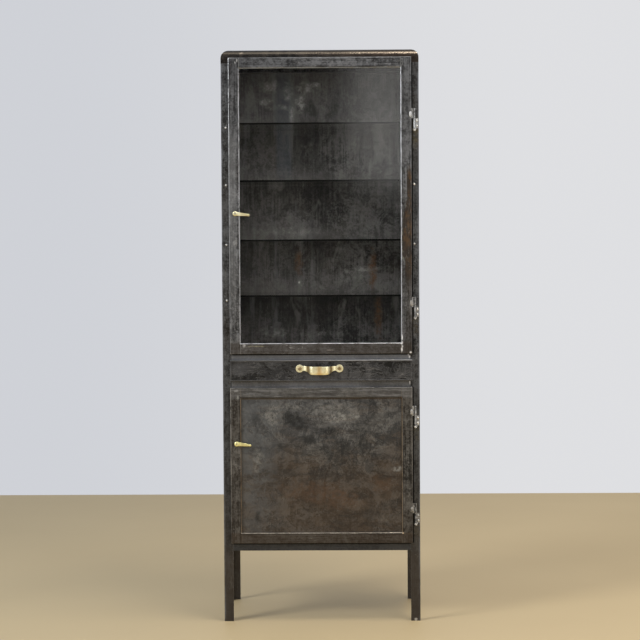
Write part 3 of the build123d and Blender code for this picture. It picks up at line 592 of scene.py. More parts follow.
RUST = (0.16, 0.075, 0.03)
BACK_SMUDGES = (
    (-185, 1738, 22, 22, 1.0),
    (-160, 1742, 12, 30, 1.0),
    (-110, 1725, 20, 40, 1.0),
    (-45, 1738, 46, 24, 1.0),
    (-20, 1748, 20, 10, 1.0),
    (-70, 1690, 24, 45, 1.0),
    (-190, 1692, 40, 18, 0.9),
    (-140, 1672, 60, 12, 0.7),
    (-100, 1640, 14, 45, 0.9),
    (-110, 1252, 170, 18, 0.4),
    (120, 1110, 75, 26, 0.42),
    (60, 1095, 50, 20, 0.3),
    (150, 1125, 60, 12, 0.5),
    (-75, 1080, 12, 35, 0.5),
    (-160, 912, 70, 18, 0.6),
    (0, 905, 90, 14, 0.5),
)
BACK_RUST = (
    (171, 1115, 17, 85, 0.75),
    (190, 965, 18, 95, 0.7),
    (-80, 1150, 20, 50, 0.55),
)


def wiped_down(look):
    """Brushing that shows only in patches, where the sheet was wiped down."""
    return look.noise(5.0, 5.0, 0.65).fade(0.42, 0.6, 0.25, 1.0)


def inner_face(look):
    """White on the back sheet's inner face, where the marks of use are."""
    return look.y.fade(0.2154, 0.2151)


def inner_crust(look):
    return inner_face(look) * 0.45


back = Steel(
    "back_steel", (0.022, 0.021, 0.0205), (0.19, 0.182, 0.177), (0.06, 0.043, 0.034), 0.36,
    brushing=wiped_down, crust=inner_crust, face=(0.2142, 0.0014),
)
x, z = back.x, back.z
inner = inner_face(back)
back.lay(z.fade(1.58, 1.7), (0.235, 0.228, 0.22), 0.25)
gloom = back.noise(12.0, 6.0, 0.64, 0.3, stretch=(1.0, 1.0, 0.25)).fade(0.5, 0.36)
back.lay(gloom * inner, (0.008, 0.008, 0.008), 0.55)
back.lay(x.fade(0.05, -0.2), (0.235, 0.222, 0.215), 0.2)
# Just over each shelf the sheet is painted lighter, and just below it lies a painted shadow of the shelf.
for number in range(1, 5):
    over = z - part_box(f"glass_shelf_{number}")[0].z
    lit_over_shelf = over.fade(0.08, 0.012) * over.fade(-0.004, 0.004)
    back.lay(lit_over_shelf * inner, (0.26, 0.25, 0.24), 0.26)
    shaded = over.fade(-0.15, -0.008) * over.fade(0.006, -0.002)
    back.lay(shaded * inner, (0.003, 0.003, 0.003), 0.78 if number == 1 else 0.42)
wiped = back.noise(19.0, 7.0, 0.68, 0.6, stretch=(1.0, 1.0, 0.35)).fade(0.52, 0.68)
back.lay(wiped * inner, (0.24, 0.233, 0.222), 0.45)
streak = back.noise(26.0, 6.0, 0.65, stretch=(1.0, 1.0, 0.1)).fade(0.53, 0.66)
back.lay(streak * x.fade(0.02, -0.1, 0.25, 1.0) * inner, (0.21, 0.21, 0.212), 0.55)
blue = abs(x + 0.128).fade(0.032, 0.018) * z.fade(1.38, 1.48)
back.lay(blue * inner, (0.105, 0.125, 0.15), 0.4)
salt = back.noise(150.0, 8.0, 0.85).fade(0.6, 0.68) * back.noise(9.0, 5.0, 0.6).fade(0.48, 0.62)
back.lay(salt * inner, (0.46, 0.44, 0.41), 0.5)
back.blotches(BACK_SMUDGES, (0.6, 0.585, 0.56), 0.6, 0.15, 52.0)
back.blotches(BACK_RUST, RUST, 0.6, 0.4)
back.blotches([(-78.5, 1081, 4.5, 6, 1.0)], (0.8, 0.79, 0.75), 0.3, 0.8)
salted = back.away((0.132, 0.2142, 1.07), (0.05, 0.02, 0.032)).fade(1.0, 0.4)
salted = back.noise(130.0, 8.0, 0.85).fade(0.57, 0.63) * salted
back.lay(salted * inner, (0.55, 0.51, 0.36), 0.75)
back.scratch((0.24, 0.24, 0.23), 0.6)
dress(back.finish(coat=0.0), "back_panel")

# Shelf bars and their rivets: small angle bars across the side sheets carry the shelves, riveted
# through the posts. The round heads are rubbed bright.
bars = Steel(
    "bar_steel", (0.016, 0.015, 0.014), (0.11, 0.107, 0.1), (0.05, 0.036, 0.026), 0.4, turn=(90, 0, 0)
)
bars.wear(0.6)
dress(bars.finish(0.75), "left_shelf_bars", "right_shelf_bars")

heads = Steel("rivet_steel", (0.42, 0.415, 0.41), (0.9, 0.895, 0.88), (0.16, 0.12, 0.08), 0.15)
rivet_steel = heads.finish(0.85, 0.2)
dress(rivet_steel, "shelf_rivets", "post_leaf_rivets", "upper_door_leaf_rivets", "lower_door_leaf_rivets")


# Glass shelves and pane: clear float glass with ground edges, lightly greasy from handling. The
# shelves lie loose on the bars, and the pane is held in the door by strips.
def clear_glass(name, tint, smear, shade, edge_at=None):
    """Clear glass that lets the lamps through, with a faint greasy film and, if asked, a painted dark edge
    with a painted highlight along its lower corner.
    """
    material, tree, shader = new_material(name)
    spot = add_node(tree, "TexCoord").outputs["Object"]
    film = noise(tree, stretched(tree, spot, (1.0, 1.0, 0.5)), 9.0, 2.0, 0.5, 0.8)
    film = film.fade(0.4, 0.7, 0.0, smear)
    fill(tree, shader, {"Base Color": tint, "Transmission Weight": 1.0, "IOR": 1.48, "Roughness": film})
    clear = add_node(tree, "BsdfTransparent", {"Color": [shade * part for part in tint]})
    shadow = add_node(tree, "LightPath").outputs["Is Shadow Ray"]
    both = add_node(tree, "MixShader", {0: shadow, 1: shader, 2: clear})
    if edge_at is not None:
        # Looked at edge on, plate glass is nearly black, so the front edge is painted an opaque black; the
        # ground lower corner gets a painted highlight where it catches the light.
        y, z = split(tree, spot)[1:]
        rim = y.fade(edge_at.y + 0.0012, edge_at.y + 0.0008)
        ground_glint = rim * z.fade(edge_at.z + 0.0009, edge_at.z + 0.0005)
        tone = blend_colour(tree, ground_glint, (0.001, 0.001, 0.001), (0.06, 0.06, 0.057))
        inputs = {"Base Color": tone, "Roughness": 1.0, "Specular IOR Level": 0.0}
        solid = add_node(tree, "BsdfPrincipled", inputs)
        both = add_node(tree, "MixShader", {0: rim, 1: both, 2: solid})
    fill(tree, tree.nodes["Material Output"], {"Surface": both})
    return material


for number in range(1, 5):
    name = f"glass_shelf_{number}"
    dress(clear_glass(name + "_glass", (0.895, 0.905, 0.895), 0.03, 0.7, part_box(name)[0]), name)

# Hinges: lift-off barrel hinges of plain steel, worn bright, with a pin pressed into each lower
# barrel. The leaves are riveted and tacked with weld.
barrels = Steel(
    "hinge_steel", (0.07, 0.07, 0.074), (0.52, 0.53, 0.545), (0.1, 0.08, 0.06), 0.25, brushing=0.4
)
barrels.wear(1.0, (0.72, 0.71, 0.69), 0.002)
hinge_steel = barrels.finish(0.85, 0.5)
dress(hinge_steel, "hinge_post_leaves", "hinge_pins", "upper_door_hinge_leaves", "lower_door_hinge_leaves")

# Hinge welds: each leaf was tacked to the door's face and each lower barrel to the post with a
# rough bright blob of weld, ground off unevenly. One blob of each kind is made and copied.
HALF_BARREL = 0.0315
TACK_RISE = 0.013
bright = Steel("weld_bright", (0.5, 0.5, 0.51), (0.97, 0.98, 1.0), (0.2, 0.17, 0.14), 0.08)
weld_bright = bright.finish(0.9, 0.4)


def weld_blob(name, size, seed):
    """A ragged lump of weld round the origin, cut from the noise at its own seed."""
    bpy.ops.object.select_all(action="DESELECT")
    bpy.ops.mesh.primitive_ico_sphere_add(subdivisions=5, radius=0.5)
    blob = bpy.context.object
    blob.name = name
    edit_all()
    bpy.ops.transform.translate(value=(seed, 0, 0))
    leave_edit()
    lumps = bpy.data.textures.new(name + "_lumps", "CLOUDS")
    lumps.noise_scale = 0.35
    lumps.noise_depth = 3
    apply_modifier(blob, "DISPLACE", texture=lumps, texture_coords="LOCAL", strength=0.55, mid_level=0.45)
    edit_all()
    bpy.ops.transform.translate(value=(-seed, 0, 0))
    bpy.ops.transform.resize(value=size, center_override=(0, 0, 0))
    leave_edit()
    bpy.ops.object.shade_smooth()
    blob.data.materials.append(weld_bright)
    return blob


door_blob = weld_blob("door_weld_master", (0.008, 0.004, 0.019), 2.0)
post_blob = weld_blob("post_weld_master", (0.01, 0.007, 0.01), 6.0)
door_low, door_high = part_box("upper_door_frame")
pins_low, pins_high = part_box("hinge_pins")
pin_x = (pins_low.x + pins_high.x) / 2
pin_y = (pins_low.y + pins_high.y) / 2
for door in ("upper", "lower"):
    leaves_low, leaves_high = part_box(f"{door}_door_hinge_leaves")
    for place, middle in (("low", leaves_low.z), ("high", leaves_high.z - HALF_BARREL)):
        shift = (door_high.x - 0.0028, door_low.y + 0.0006, middle + TACK_RISE)
        tack = copy_piece(door_blob, f"{door}_door_weld_{place}", shift)
        if (door, place) != ("upper", "high"):
            tack.data.materials[0] = weld_steel
        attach(tack, f"{door}_door")
        shift = (pin_x, pin_y + 0.002, middle - HALF_BARREL - 0.003)
        tack = copy_piece(post_blob, f"{door}_post_weld_{place}", shift)
        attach(tack, "cabinet")
bpy.data.objects.remove(door_blob)
bpy.data.objects.remove(post_blob)

# Upper door: a frame folded from sheet steel, brushed greyer than the carcass, with its window edge
# worn bright and carrying a painted highlight. Flat strips behind hold the pane.
FACE_WIDTH = 0.0345
DOOR_FACE = (-0.196, 0.02)
UPPER_SCUFFS = (
    (-262, 1795, 2, 8, 1.0),
    (-268, 1788, 2, 6, 0.8),
    (-272, 1215, 8, 14, 0.5),
    (262, 1790, 2, 10, 0.9),
    (-245, 888, 6, 6, 0.7),
)
CORNER_SPATTER = (
    (259, 913, 3.5, 10, 1.0),
    (258, 895, 5, 6, 1.0),
    (260, 884, 3, 5, 1.0),
    (258, 874, 3.5, 8, 1.0),
    (286, 864, 4, 5, 1.0),
)
window, given, made = start_group(
    "window_edge",
    {"Place": "Vector", "Centre": "Vector", "Half Width": "Float", "Half Height": "Float"},
    {"Outside": "Float"},
)
off = add_node(window, "VectorMath", {0: given["Place"], 1: given["Centre"]}, operation="SUBTRACT")
off = add_node(window, "VectorMath", {0: off}, operation="ABSOLUTE")
off_x, _, off_z = split(window, off)
across = off_x - given["Half Width"]
outside = across.calculate("MAXIMUM", off_z - given["Half Height"])
fill(window, made, {"Outside": outside})


def outside_of(look, level, half_width, half_height):
    """How far a point lies outside a rectangle round the cabinet's middle line."""
    inputs = {"Centre": (0.0, 0.0, level), "Half Width": half_width, "Half Height": half_height}
    return use_group(look.tree, window, {"Place": look.spot, **inputs})["Outside"]


def cross_pieces(look):
    """White on a door's upper and lower cross pieces, which lie between its stiles."""
    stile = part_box(look.material.name)[1].x - FACE_WIDTH
    return abs(look.x).fade(stile, stile - 0.0005)


def door_steel(name, dark, light, brown, share, shift):
    """The finish of one door frame, with masks of the edges round its window and outside."""
    look = Steel(
        name, dark, light, brown, share,
        brushing=0.9, crust=0.3, shift=shift, lying=cross_pieces, face=DOOR_FACE,
    )
    low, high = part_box(name)
    middle, half = (low + high) / 2, (high - low) / 2
    look.inner = outside_of(look, middle.z, half.x - FACE_WIDTH, half.z - FACE_WIDTH)
    look.outer = outside_of(look, middle.z, half.x, half.z)
    # The stiles run through, and the cross pieces butt against them with a dressed weld.
    seam = abs(abs(look.x) - (half.x - FACE_WIDTH)).fade(0.0011, 0.0003)
    look.seam = seam * abs(look.z - middle.z).fade(half.z - FACE_WIDTH, half.z - FACE_WIDTH + 0.002)
    return look


upper = door_steel(
    "upper_door_frame", (0.018, 0.018, 0.019), (0.205, 0.208, 0.218), (0.06, 0.046, 0.036), 0.15,
    (2.3, 0.4, 1.9),
)
x, z = upper.x, upper.z
upper.lay(z.fade(0.905, 0.892), (0.056, 0.046, 0.039), 0.68)
upper.lay(z.fade(1.49, 1.53) * x.fade(0.05, -0.1, 0.25, 1.0), (0.03, 0.03, 0.032), 0.3)
upper.lay(z.fade(1.69, 1.73) * x.fade(-0.22, -0.26), (0.026, 0.026, 0.028), 0.4)
high_right = z.fade(1.45, 1.72, 0.5, 1.0) * x.fade(0.254, 0.258) * z.fade(1.44, 1.46)
upper.lay(high_right, (0.04, 0.04, 0.042), 0.38)
# Rust creeps out of the hinge edge of the right stile, below the upper hinge, and lifts the old skin
# in pale chips where it stops.
ragged = upper.noise(75.0, 8.0, 0.75, stretch=(1.0, 1.0, 0.3))
reach = z.fade(1.36, 1.275, 0.274, 0.262) + z.fade(1.175, 1.15, 0.0, 0.009)
past = x - (reach + (ragged - 0.5) * 0.02)
height = z.fade(1.47, 1.42) * z.fade(1.06, 1.12, 0.3, 1.0)
upper.lay(past.fade(-0.0005, 0.0012) * height, (0.03, 0.02, 0.012), 0.88)
crumbled = upper.noise(60.0, 8.0, 0.78, stretch=(1.0, 1.0, 0.4)).fade(0.46, 0.58)
orange = past.fade(0.002, 0.005) * height * z.fade(1.09, 1.2, 0.25, 1.0) * crumbled
upper.lay(orange, (0.15, 0.078, 0.03), 0.65)
chips = abs(past + 0.0014).fade(0.0026, 0.0012) * z.fade(1.14, 1.16) * z.fade(1.345, 1.33)
upper.lay(chips * upper.noise(32.0, 5.0, 0.7).fade(0.47, 0.56), (0.34, 0.33, 0.27), 0.7)
upper.lay(x.fade(0.255, 0.265) * z.fade(1.5, 1.1), (0.03, 0.026, 0.022), 0.35)
upper.lay(x.fade(-0.262, -0.272) * z.fade(0.9, 1.15) * z.fade(1.62, 1.52), (0.28, 0.283, 0.29), 0.33)
upper.lay(upper.seam, (0.36, 0.36, 0.35), 0.5)
# The window's edge is worn bright and carries a painted highlight, weaker along the downward-facing top
# edge; under the upper cross piece it is speckled.
broken = upper.noise(38.0, 7.0, 0.75).fade(0.36, 0.56, 0.2, 1.0)
rim = upper.inner.fade(0.0026, 0.0015) * z.fade(1.7705, 1.7655, 0.42, 1.0) * broken
upper.lay(rim, (0.72, 0.735, 0.77), 0.95, 0.3)
under_top = z.fade(1.766, 1.769) * upper.inner.fade(0.0026, 0.0012)
speckled = upper.noise(70.0, 6.0, 0.75).fade(0.42, 0.56, 0.2, 1.0)
upper.lay(under_top * speckled, (0.4, 0.46, 0.56), 0.8, 0.5)
# The outer edge gets a broken painted highlight, strongest on the left stile and towards the top.
lip_highlight = upper.outer.fade(-0.003, -0.0012) * upper.noise(20.0, 5.0, 0.7).fade(0.36, 0.5)
lip_highlight = lip_highlight * z.fade(1.3, 1.6, 0.35, 1.0) * x.fade(-0.27, -0.288, 0.3, 1.0)
upper.lay(lip_highlight, (0.44, 0.445, 0.46), 0.85, 0.3)
upper.scratch((0.34, 0.33, 0.32), 0.7)
upper.blotches(UPPER_SCUFFS, (0.62, 0.61, 0.6), 0.4)
# Bright spatter of weld at the lower right corner, a long yellowish scratch beside the left one and
# a short one to the right of the middle
upper.blotches(CORNER_SPATTER, (0.85, 0.85, 0.86), 0.4, 0.75)
upper.blotches([(-205, 886, 34, 2.2, 0.75)], (0.36, 0.33, 0.22), 0.25, 0.4)
upper.blotches([(30, 873, 16, 1.6, 0.7)], (0.4, 0.37, 0.34), 0.3, 0.4)
dress(upper.finish(0.7, 0.35), "upper_door_frame")

strips = Steel(
    "strip_steel", (0.025, 0.024, 0.023), (0.13, 0.128, 0.124), (0.06, 0.043, 0.03), 0.4, brushing=0.6
)
strips.wear(0.6)
dress(strips.finish(), "upper_door_side_strips", "upper_door_cross_strips")
dress(clear_glass("pane_glass", (0.985, 0.985, 0.975), 0.012, 0.96), "upper_door_glass")

# Lower door: the same frame with a flat steel panel behind its return. The panel is wiped grey at
# the top, goes brown downwards and keeps dark scorched blotches.
lower = door_steel(
    "lower_door_frame", (0.014, 0.013, 0.012), (0.135, 0.13, 0.123), (0.048, 0.035, 0.025), 0.35,
    (4.7, 2.4, 3.3),
)
x, z = lower.x, lower.z
top_piece = z.fade(0.716, 0.722)
lower.lay(top_piece, (0.142, 0.14, 0.14), 0.42)
drawn = lower.noise(120.0, 6.0, 0.7, stretch=(0.1, 1.0, 1.0))
lower.lay(top_piece * drawn.fade(0.52, 0.64), (0.27, 0.27, 0.28), 0.45)
lower.lay(top_piece * drawn.fade(0.47, 0.37), (0.03, 0.026, 0.024), 0.45)
lower.lay(z.fade(0.29, 0.284), (0.05, 0.036, 0.026), 0.6)
lower.lay(lower.seam, (0.16, 0.13, 0.1), 0.5)
shadow_line = lower.inner.fade(0.0022, 0.003) * lower.inner.fade(0.0058, 0.0046)
lower.lay(shadow_line, (0.008, 0.007, 0.006), 0.6)
# The window's edge is worn and carries a painted highlight, palest along the upward-facing bottom edge and
# left out along the top edge.
broken = lower.noise(45.0, 6.0, 0.7).fade(0.36, 0.58, 0.35, 1.0)
rim = lower.inner.fade(0.003, 0.002) * z.fade(0.7195, 0.715, 0.0, 1.0) * broken
below = z.fade(0.29, 0.286)
lower.lay(rim * below, (0.46, 0.41, 0.34), 0.85, 0.3)
lower.lay(rim * (1.0 - below), (0.27, 0.2, 0.13), 0.75, 0.4)
# Rust in the window's upper right corner, and two worn patches on the left stile below the lever
lower.blotches([(253.5, 708, 6, 16, 0.9)], (0.26, 0.12, 0.035), 0.3, face=(-0.193, 0.02))
lower.blotches([(-268, 535, 18, 30, 0.9)], (0.28, 0.27, 0.26), 1.1, 0.1, 52.0)
lower.blotches([(-264, 497, 18, 30, 1.0)], (0.36, 0.35, 0.34), 1.1, 0.1, 52.0)
# Painted highlights along the outer edge, strongest on the left and towards the top, and along the
# upward-facing top edge, broken up by noise.
edge_breakup = lower.noise(20.0, 5.0, 0.7)
at_sides = x.fade(-0.27, -0.288).calculate("MAXIMUM", x.fade(0.286, 0.29, 0.0, 0.6))
lip_highlight = lower.outer.fade(-0.003, -0.0012) * edge_breakup.fade(0.38, 0.52) * at_sides
lower.lay(lip_highlight * z.fade(0.38, 0.52, 0.15, 1.0), (0.38, 0.36, 0.34), 0.8, 0.3)
lower.lay(z.fade(0.7505, 0.752) * edge_breakup.fade(0.4, 0.55), (0.3, 0.29, 0.28), 0.5, 0.3)
lower.blotches([(-272, 744, 10, 5, 0.6)], (0.42, 0.42, 0.42), 0.8)
lower.blotches([(260, 285.5, 4, 3.5, 0.95)], (0.62, 0.48, 0.33), 0.6, 0.4)
lower.blotches([(-266, 722, 4, 10, 0.6)], (0.38, 0.38, 0.37), 0.8)
lower.scratch((0.24, 0.22, 0.2), 0.7)
dress(lower.finish(0.7, 0.35), "lower_door_frame")

PALE_SCUFFS = (
    (-155, 665, 45, 40, 0.6),
    (-105, 690, 50, 12, 0.5),
    (55, 655, 50, 18, 1.0),
    (110, 660, 30, 10, 0.8),
    (30, 680, 100, 22, 0.5),
    (245, 490, 22, 10, 0.8),
    (-205, 520, 20, 45, 0.5),
    (190, 640, 40, 40, 0.15),
    (200, 330, 60, 20, 0.15),
)
SCORCHED = (
    (-95, 655, 42, 32, 1.0),
    (-70, 625, 25, 20, 0.9),
    (18, 610, 36, 24, 1.0),
    (-40, 585, 28, 20, 0.9),
    (72, 560, 28, 32, 0.9),
    (20, 555, 50, 12, 0.5),
    (-210, 640, 14, 60, 0.5),
    (-207, 330, 12, 28, 0.7),
    (165, 350, 60, 30, 0.4),
    (130, 600, 30, 60, 0.35),
)
RUSTY = (
    (190, 440, 50, 30, 0.5),
    (-20, 420, 120, 40, 0.5),
    (60, 390, 90, 30, 0.5),
)
panel = Steel(
    "lower_panel_steel", (0.009, 0.009, 0.009), (0.132, 0.127, 0.12), (0.06, 0.04, 0.026), 0.3,
    crust=0.8, face=(-0.187, 0.05),
)
x, z = panel.x, panel.z
panel.lay(z.fade(0.45, 0.7) * x.fade(0.16, 0.05, 0.45, 1.0), (0.16, 0.168, 0.18), 0.42)
level = z + (panel.noise(7.0, 7.0, 0.65) - 0.5) * 0.32
panel.lay(level.fade(0.6, 0.48), (0.066, 0.045, 0.03), 0.58)
banded = panel.noise(34.0, 8.0, 0.72, 0.6, stretch=(0.3, 1.0, 1.0))
panel.lay(banded.fade(0.5, 0.6), (0.105, 0.078, 0.056), 0.32)
panel.lay(banded.fade(0.47, 0.39), (0.018, 0.016, 0.015), 0.45)
high_up = panel.noise(17.0, 10.0, 0.7, 1.2).fade(0.53, 0.548) * level.fade(0.44, 0.56, 0.2, 1.0)
panel.lay(high_up, (0.02, 0.021, 0.023), 0.55)
# The old skin is cracked, and lifted pale beside the cracks.
torn = panel.noise(21.0, 6.0, 0.62, 1.4)
crack = abs(torn - 0.5).fade(0.03, 0.01) * panel.noise(9.0, 4.0, 0.6).fade(0.46, 0.58)
panel.lay(crack, (0.012, 0.011, 0.011), 0.55)
lit = abs(torn - 0.455).fade(0.022, 0.006) * panel.noise(8.0, 4.0, 0.6).fade(0.5, 0.6)
panel.lay(lit, (0.19, 0.18, 0.165), 0.35)
left_grey = x.fade(-0.1, -0.2) * level.fade(0.26, 0.52, 0.55, 1.0)
patches = panel.noise(24.0, 9.0, 0.74, 0.8).fade(0.42, 0.56, 0.25, 1.0)
panel.lay(left_grey * patches, (0.105, 0.111, 0.118), 0.62)
panel.blotches(PALE_SCUFFS, (0.27, 0.265, 0.25), 0.8)
panel.blotches(SCORCHED, (0.013, 0.014, 0.015), 0.9, 0.7)
panel.blotches(RUSTY, (0.1, 0.055, 0.03), 0.8, 0.4)
# A brownish painted shadow along the top of the panel, under the frame's upper cross piece.
panel.lay(z.fade(0.7135, 0.7175), (0.075, 0.045, 0.025), 0.7)
panel.scratch((0.2, 0.18, 0.16), 0.5)
dress(panel.finish(0.55, 0.4, 0.2), "lower_door_panel")


# Lever latches: small cast brass levers, polished, pinned to a steel spindle that turns a tongue
# behind the post.
def polished_brass(name, shift, age=0.0):
    """Clouded and slightly tarnished brass, browner with its age."""
    material, tree, shader = new_material(name)
    spot = add_node(tree, "TexCoord").outputs["Object"]
    place = add_node(tree, "Mapping", {"Vector": spot, "Location": shift})
    cloudy = noise(tree, place, 70.0, 5.0, 0.65)
    tone = blend_colour(tree, cloudy.fade(0.35, 0.7), (0.9, 0.81, 0.49), (0.98, 0.94, 0.7))
    tarnish = noise(tree, place, 150.0, 5.0, 0.7).fade(0.56, 0.72) * 0.35
    tone = blend_colour(tree, tarnish, tone, (0.45, 0.3, 0.12))
    if age:
        tone = blend_colour(tree, age, tone, (0.22, 0.12, 0.04))
    height = noise(tree, place, 90.0, 3.0)
    relief = add_node(tree, "Bump", {"Strength": 0.12, "Distance": 0.0006, "Height": height})
    inputs = {
        "Base Color": tone,
        "Roughness": cloudy.fade(0.3, 0.7, 0.32, 0.48),
        "Normal": relief,
        "Metallic": 1.0,
    }
    fill(tree, shader, inputs)
    return material


def stain_brass(material, share, tint):
    """Lay a stain over the brass where the share is high."""
    base = material.node_tree.nodes["Principled BSDF"].inputs["Base Color"]
    bare = base.links[0].from_socket
    material.node_tree.links.new(blend_colour(material.node_tree, share, bare, tint), base)


lever_brass = polished_brass("lever_brass", (0, 0, 0))
tree = lever_brass.node_tree
x, _, z = split(tree, add_node(tree, "TexCoord").outputs["Object"])
# The lower lever is yellower, and both are darker along the shaft than at the hub and the tip.
stain_brass(lever_brass, z.fade(0.8, 0.7, 0.0, 0.6), (0.96, 0.89, 0.33))
stain_brass(lever_brass, abs(x + 0.238).fade(0.022, 0.012) * 0.3, (0.56, 0.45, 0.18))
dress(lever_brass, "upper_lever", "lower_lever")
for door in ("upper", "lower"):
    dress(hinge_steel, f"{door}_lever_spindle", f"{door}_lever_tongue")

# Drawer: a hollow front folded like the doors, with a sunk face, welded to a tray of thin sheet
# that slides on angle runners.
runner = Steel(
    "runner_steel", (0.02, 0.019, 0.018), (0.14, 0.137, 0.13), (0.06, 0.042, 0.03), 0.35, turn=(90, 0, 0)
)
runner.wear(0.9)
dress(runner.finish(0.75), "drawer_runner_left", "drawer_runner_right")
tray = Steel(
    "tray_steel", (0.03, 0.029, 0.028), (0.17, 0.167, 0.16), (0.07, 0.05, 0.034), 0.4, turn=(90, 0, 0)
)
tray.wear(0.8)
tray.scratch((0.24, 0.23, 0.22), 1.0)
dress(tray.finish(), "drawer_tray_floor", "drawer_tray_sides", "drawer_tray_ends")

RIM_WIDTH = 0.005
front = Steel(
    "drawer_front", (0.006, 0.006, 0.006), (0.072, 0.072, 0.074), (0.026, 0.022, 0.02), 0.3,
    crust=0.8, turn=(0, 90, 0),
)
low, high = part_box("drawer_front")
centre, half = (low + high) / 2, (high - low) / 2
rim = outside_of(front, centre.z, half.x - RIM_WIDTH, half.z - RIM_WIDTH)
front.lay(rim.fade(-0.0006, 0.0006), (0.075, 0.073, 0.072), 0.7)
torn = front.noise(34.0, 9.0, 0.76, 1.0, stretch=(0.32, 1.0, 1.0))
front.lay(torn.fade(0.5, 0.53), (0.04, 0.04, 0.043), 0.6)
lifted = abs(torn - 0.51).fade(0.016, 0.003) * front.noise(16.0, 4.0, 0.6).fade(0.42, 0.56, 0.35, 1.0)
front.lay(lifted, (0.19, 0.19, 0.195), 0.7)
smears = front.noise(22.0, 6.0, 0.68, stretch=(0.25, 1.0, 1.0)).fade(0.5, 0.66)
front.lay(smears, (0.1, 0.1, 0.105), 0.5)
# A painted highlight along the front's top edge, stronger to the right.
top_edge_highlight = front.z.fade(high.z - 0.0026, high.z - 0.0008) * front.x.fade(-0.15, 0.15, 0.25, 1.0)
front.lay(top_edge_highlight, (0.5, 0.49, 0.48), 0.85, 0.3)
front.wear(0.6, (0.3, 0.29, 0.28))
front.scratch((0.24, 0.23, 0.22), 0.9)
dress(front.finish(0.65, 0.5), "drawer_front")

# Pull: bent from brass strap, with a round eye at each end for a slotted screw, and a deep bowed
# grip between the necks.
PULL_WALL = 0.003
EYE_RADIUS = 0.01265
GRIP_DEPTH = 0.0263
# Half of the strap from the middle out to the eye: how far out, how deep, its foot and its top
PULL_STATIONS = [
    (0.014, GRIP_DEPTH, -0.0194, 0.0072),
    (0.023, 0.0258, -0.0192, 0.0072),
    (0.028, 0.0238, -0.0182, 0.0073),
    (0.032, 0.02, -0.0163, 0.0074),
    (0.0355, 0.015, -0.0138, 0.0076),
    (0.039, 0.01, -0.011, 0.0078),
    (0.043, 0.006, -0.0086, 0.0079),
    (0.0475, 0.0038, -0.007, 0.0078),
    (0.0515, PULL_WALL, -0.0066, 0.0074),
]
EYE_ANGLES = (140, 120, 100, 80, 60, 42, 26, 12)


def pick(piece, test):
    """Select in edit mode the vertices that pass a test of their place."""
    bpy.ops.mesh.select_all(action="DESELECT")
    mesh = bmesh.from_edit_mesh(piece.data)
    for vertex in mesh.verts:
        vertex.select_set(test(vertex.co))
    mesh.select_flush(True)
    bmesh.update_edit_mesh(piece.data)


low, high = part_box("drawer_pull")
screws_low, screws_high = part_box("pull_screws")
eye_x = (high.x - low.x) / 2 - EYE_RADIUS
for turn in EYE_ANGLES:
    tall = EYE_RADIUS * sin(radians(turn))
    PULL_STATIONS.append((eye_x + EYE_RADIUS * cos(radians(turn)), PULL_WALL, -tall, tall))
first_x, first_depth, foot, top = PULL_STATIONS[0]
bpy.ops.object.select_all(action="DESELECT")
bpy.ops.mesh.primitive_plane_add(size=1)
pull = bpy.context.object
pull.name = "brass_pull"
edit_all()
bpy.ops.transform.resize(value=(first_x, top - foot, 1))
bpy.ops.transform.rotate(value=radians(-90), orient_axis="X", center_override=(0, 0, 0))
bpy.ops.transform.translate(value=(first_x / 2, -first_depth, (top + foot) / 2))
pick(pull, lambda place: place.x > first_x / 2)
for x, depth, next_foot, next_top in PULL_STATIONS[1:]:
    shift = (x - first_x, first_depth - depth, (next_top + next_foot - top - foot) / 2)
    bpy.ops.mesh.extrude_region_move(TRANSFORM_OT_translate={"value": shift})
    middle = (x, -depth, (next_top + next_foot) / 2)
    ratio = (next_top - next_foot) / (top - foot)
    bpy.ops.transform.resize(value=(1, 1, ratio), center_override=middle)
    first_x, first_depth, foot, top = x, depth, next_foot, next_top
bpy.ops.mesh.select_all(action="DESELECT")
mesh = bmesh.from_edit_mesh(pull.data)
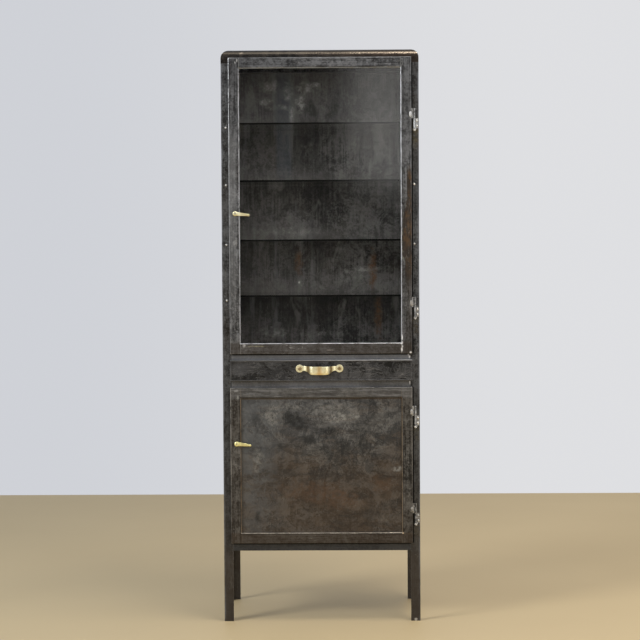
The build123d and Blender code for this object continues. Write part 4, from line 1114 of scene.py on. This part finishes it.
for edge in mesh.edges:
    start, stop = (corner.co for corner in edge.verts)
    if abs(start.x - stop.x) < 1e-5:
        edge.select_set(True)
bmesh.update_edit_mesh(pull.data)
bpy.ops.mesh.subdivide(number_cuts=3)
# The grip is bellied, with its lower lip turned in.
pick(pull, lambda place: place.y < -0.018 and -0.015 < place.z < 0.003)
bpy.ops.transform.translate(value=(0, -0.0006, 0))
pick(pull, lambda place: place.y < -0.018 and place.z < -0.0155)
bpy.ops.transform.translate(value=(0, 0.0012, 0))
leave_edit()
apply_modifier(pull, "MIRROR", use_axis=(True, False, False), merge_threshold=0.0001)
edit_all()
bpy.ops.mesh.remove_doubles(threshold=0.00005)
bpy.ops.mesh.normals_make_consistent(inside=False)
leave_edit()
if sum(face.normal.y * face.area for face in pull.data.polygons) > 0:
    edit_all()
    bpy.ops.mesh.flip_normals()
    leave_edit()
apply_modifier(pull, "SOLIDIFY", thickness=PULL_WALL, offset=-1.0)
apply_modifier(pull, "BEVEL", width=0.0005, segments=2, limit_method="ANGLE", angle_limit=radians(40))
apply_modifier(pull, "SUBSURF", levels=2, render_levels=2)
bpy.ops.object.shade_smooth()
pull_x = (low.x + high.x) / 2
move_mesh(pull, (pull_x, high.y, (screws_low.z + screws_high.z) / 2))
pull_brass = polished_brass("pull_brass", (0.31, 0.17, 0.05))
tree = pull_brass.node_tree
across = abs(split(tree, add_node(tree, "TexCoord").outputs["Object"])[0] - pull_x)
# Painted shade on the bent flanks between the grip and the necks.
stain_brass(pull_brass, abs(across - 0.0365).fade(0.0055, 0.002) * 0.75, (0.24, 0.14, 0.055))
# A painted reflection: the grip's middle is laid in a warmer, darker brass.
stain_brass(pull_brass, across.fade(0.013, 0.001, 0.0, 0.6), (0.74, 0.46, 0.17))
pull.data.materials.append(pull_brass)
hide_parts("drawer_pull")
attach(pull, "drawer")
# The screws get an aged, darker brass, which also stands in for painted shade round their heads.
dress(polished_brass("screw_brass", (0.11, 0.37, 0.25), 0.75), "pull_screws")
dress(hinge_steel, "pull_nuts")
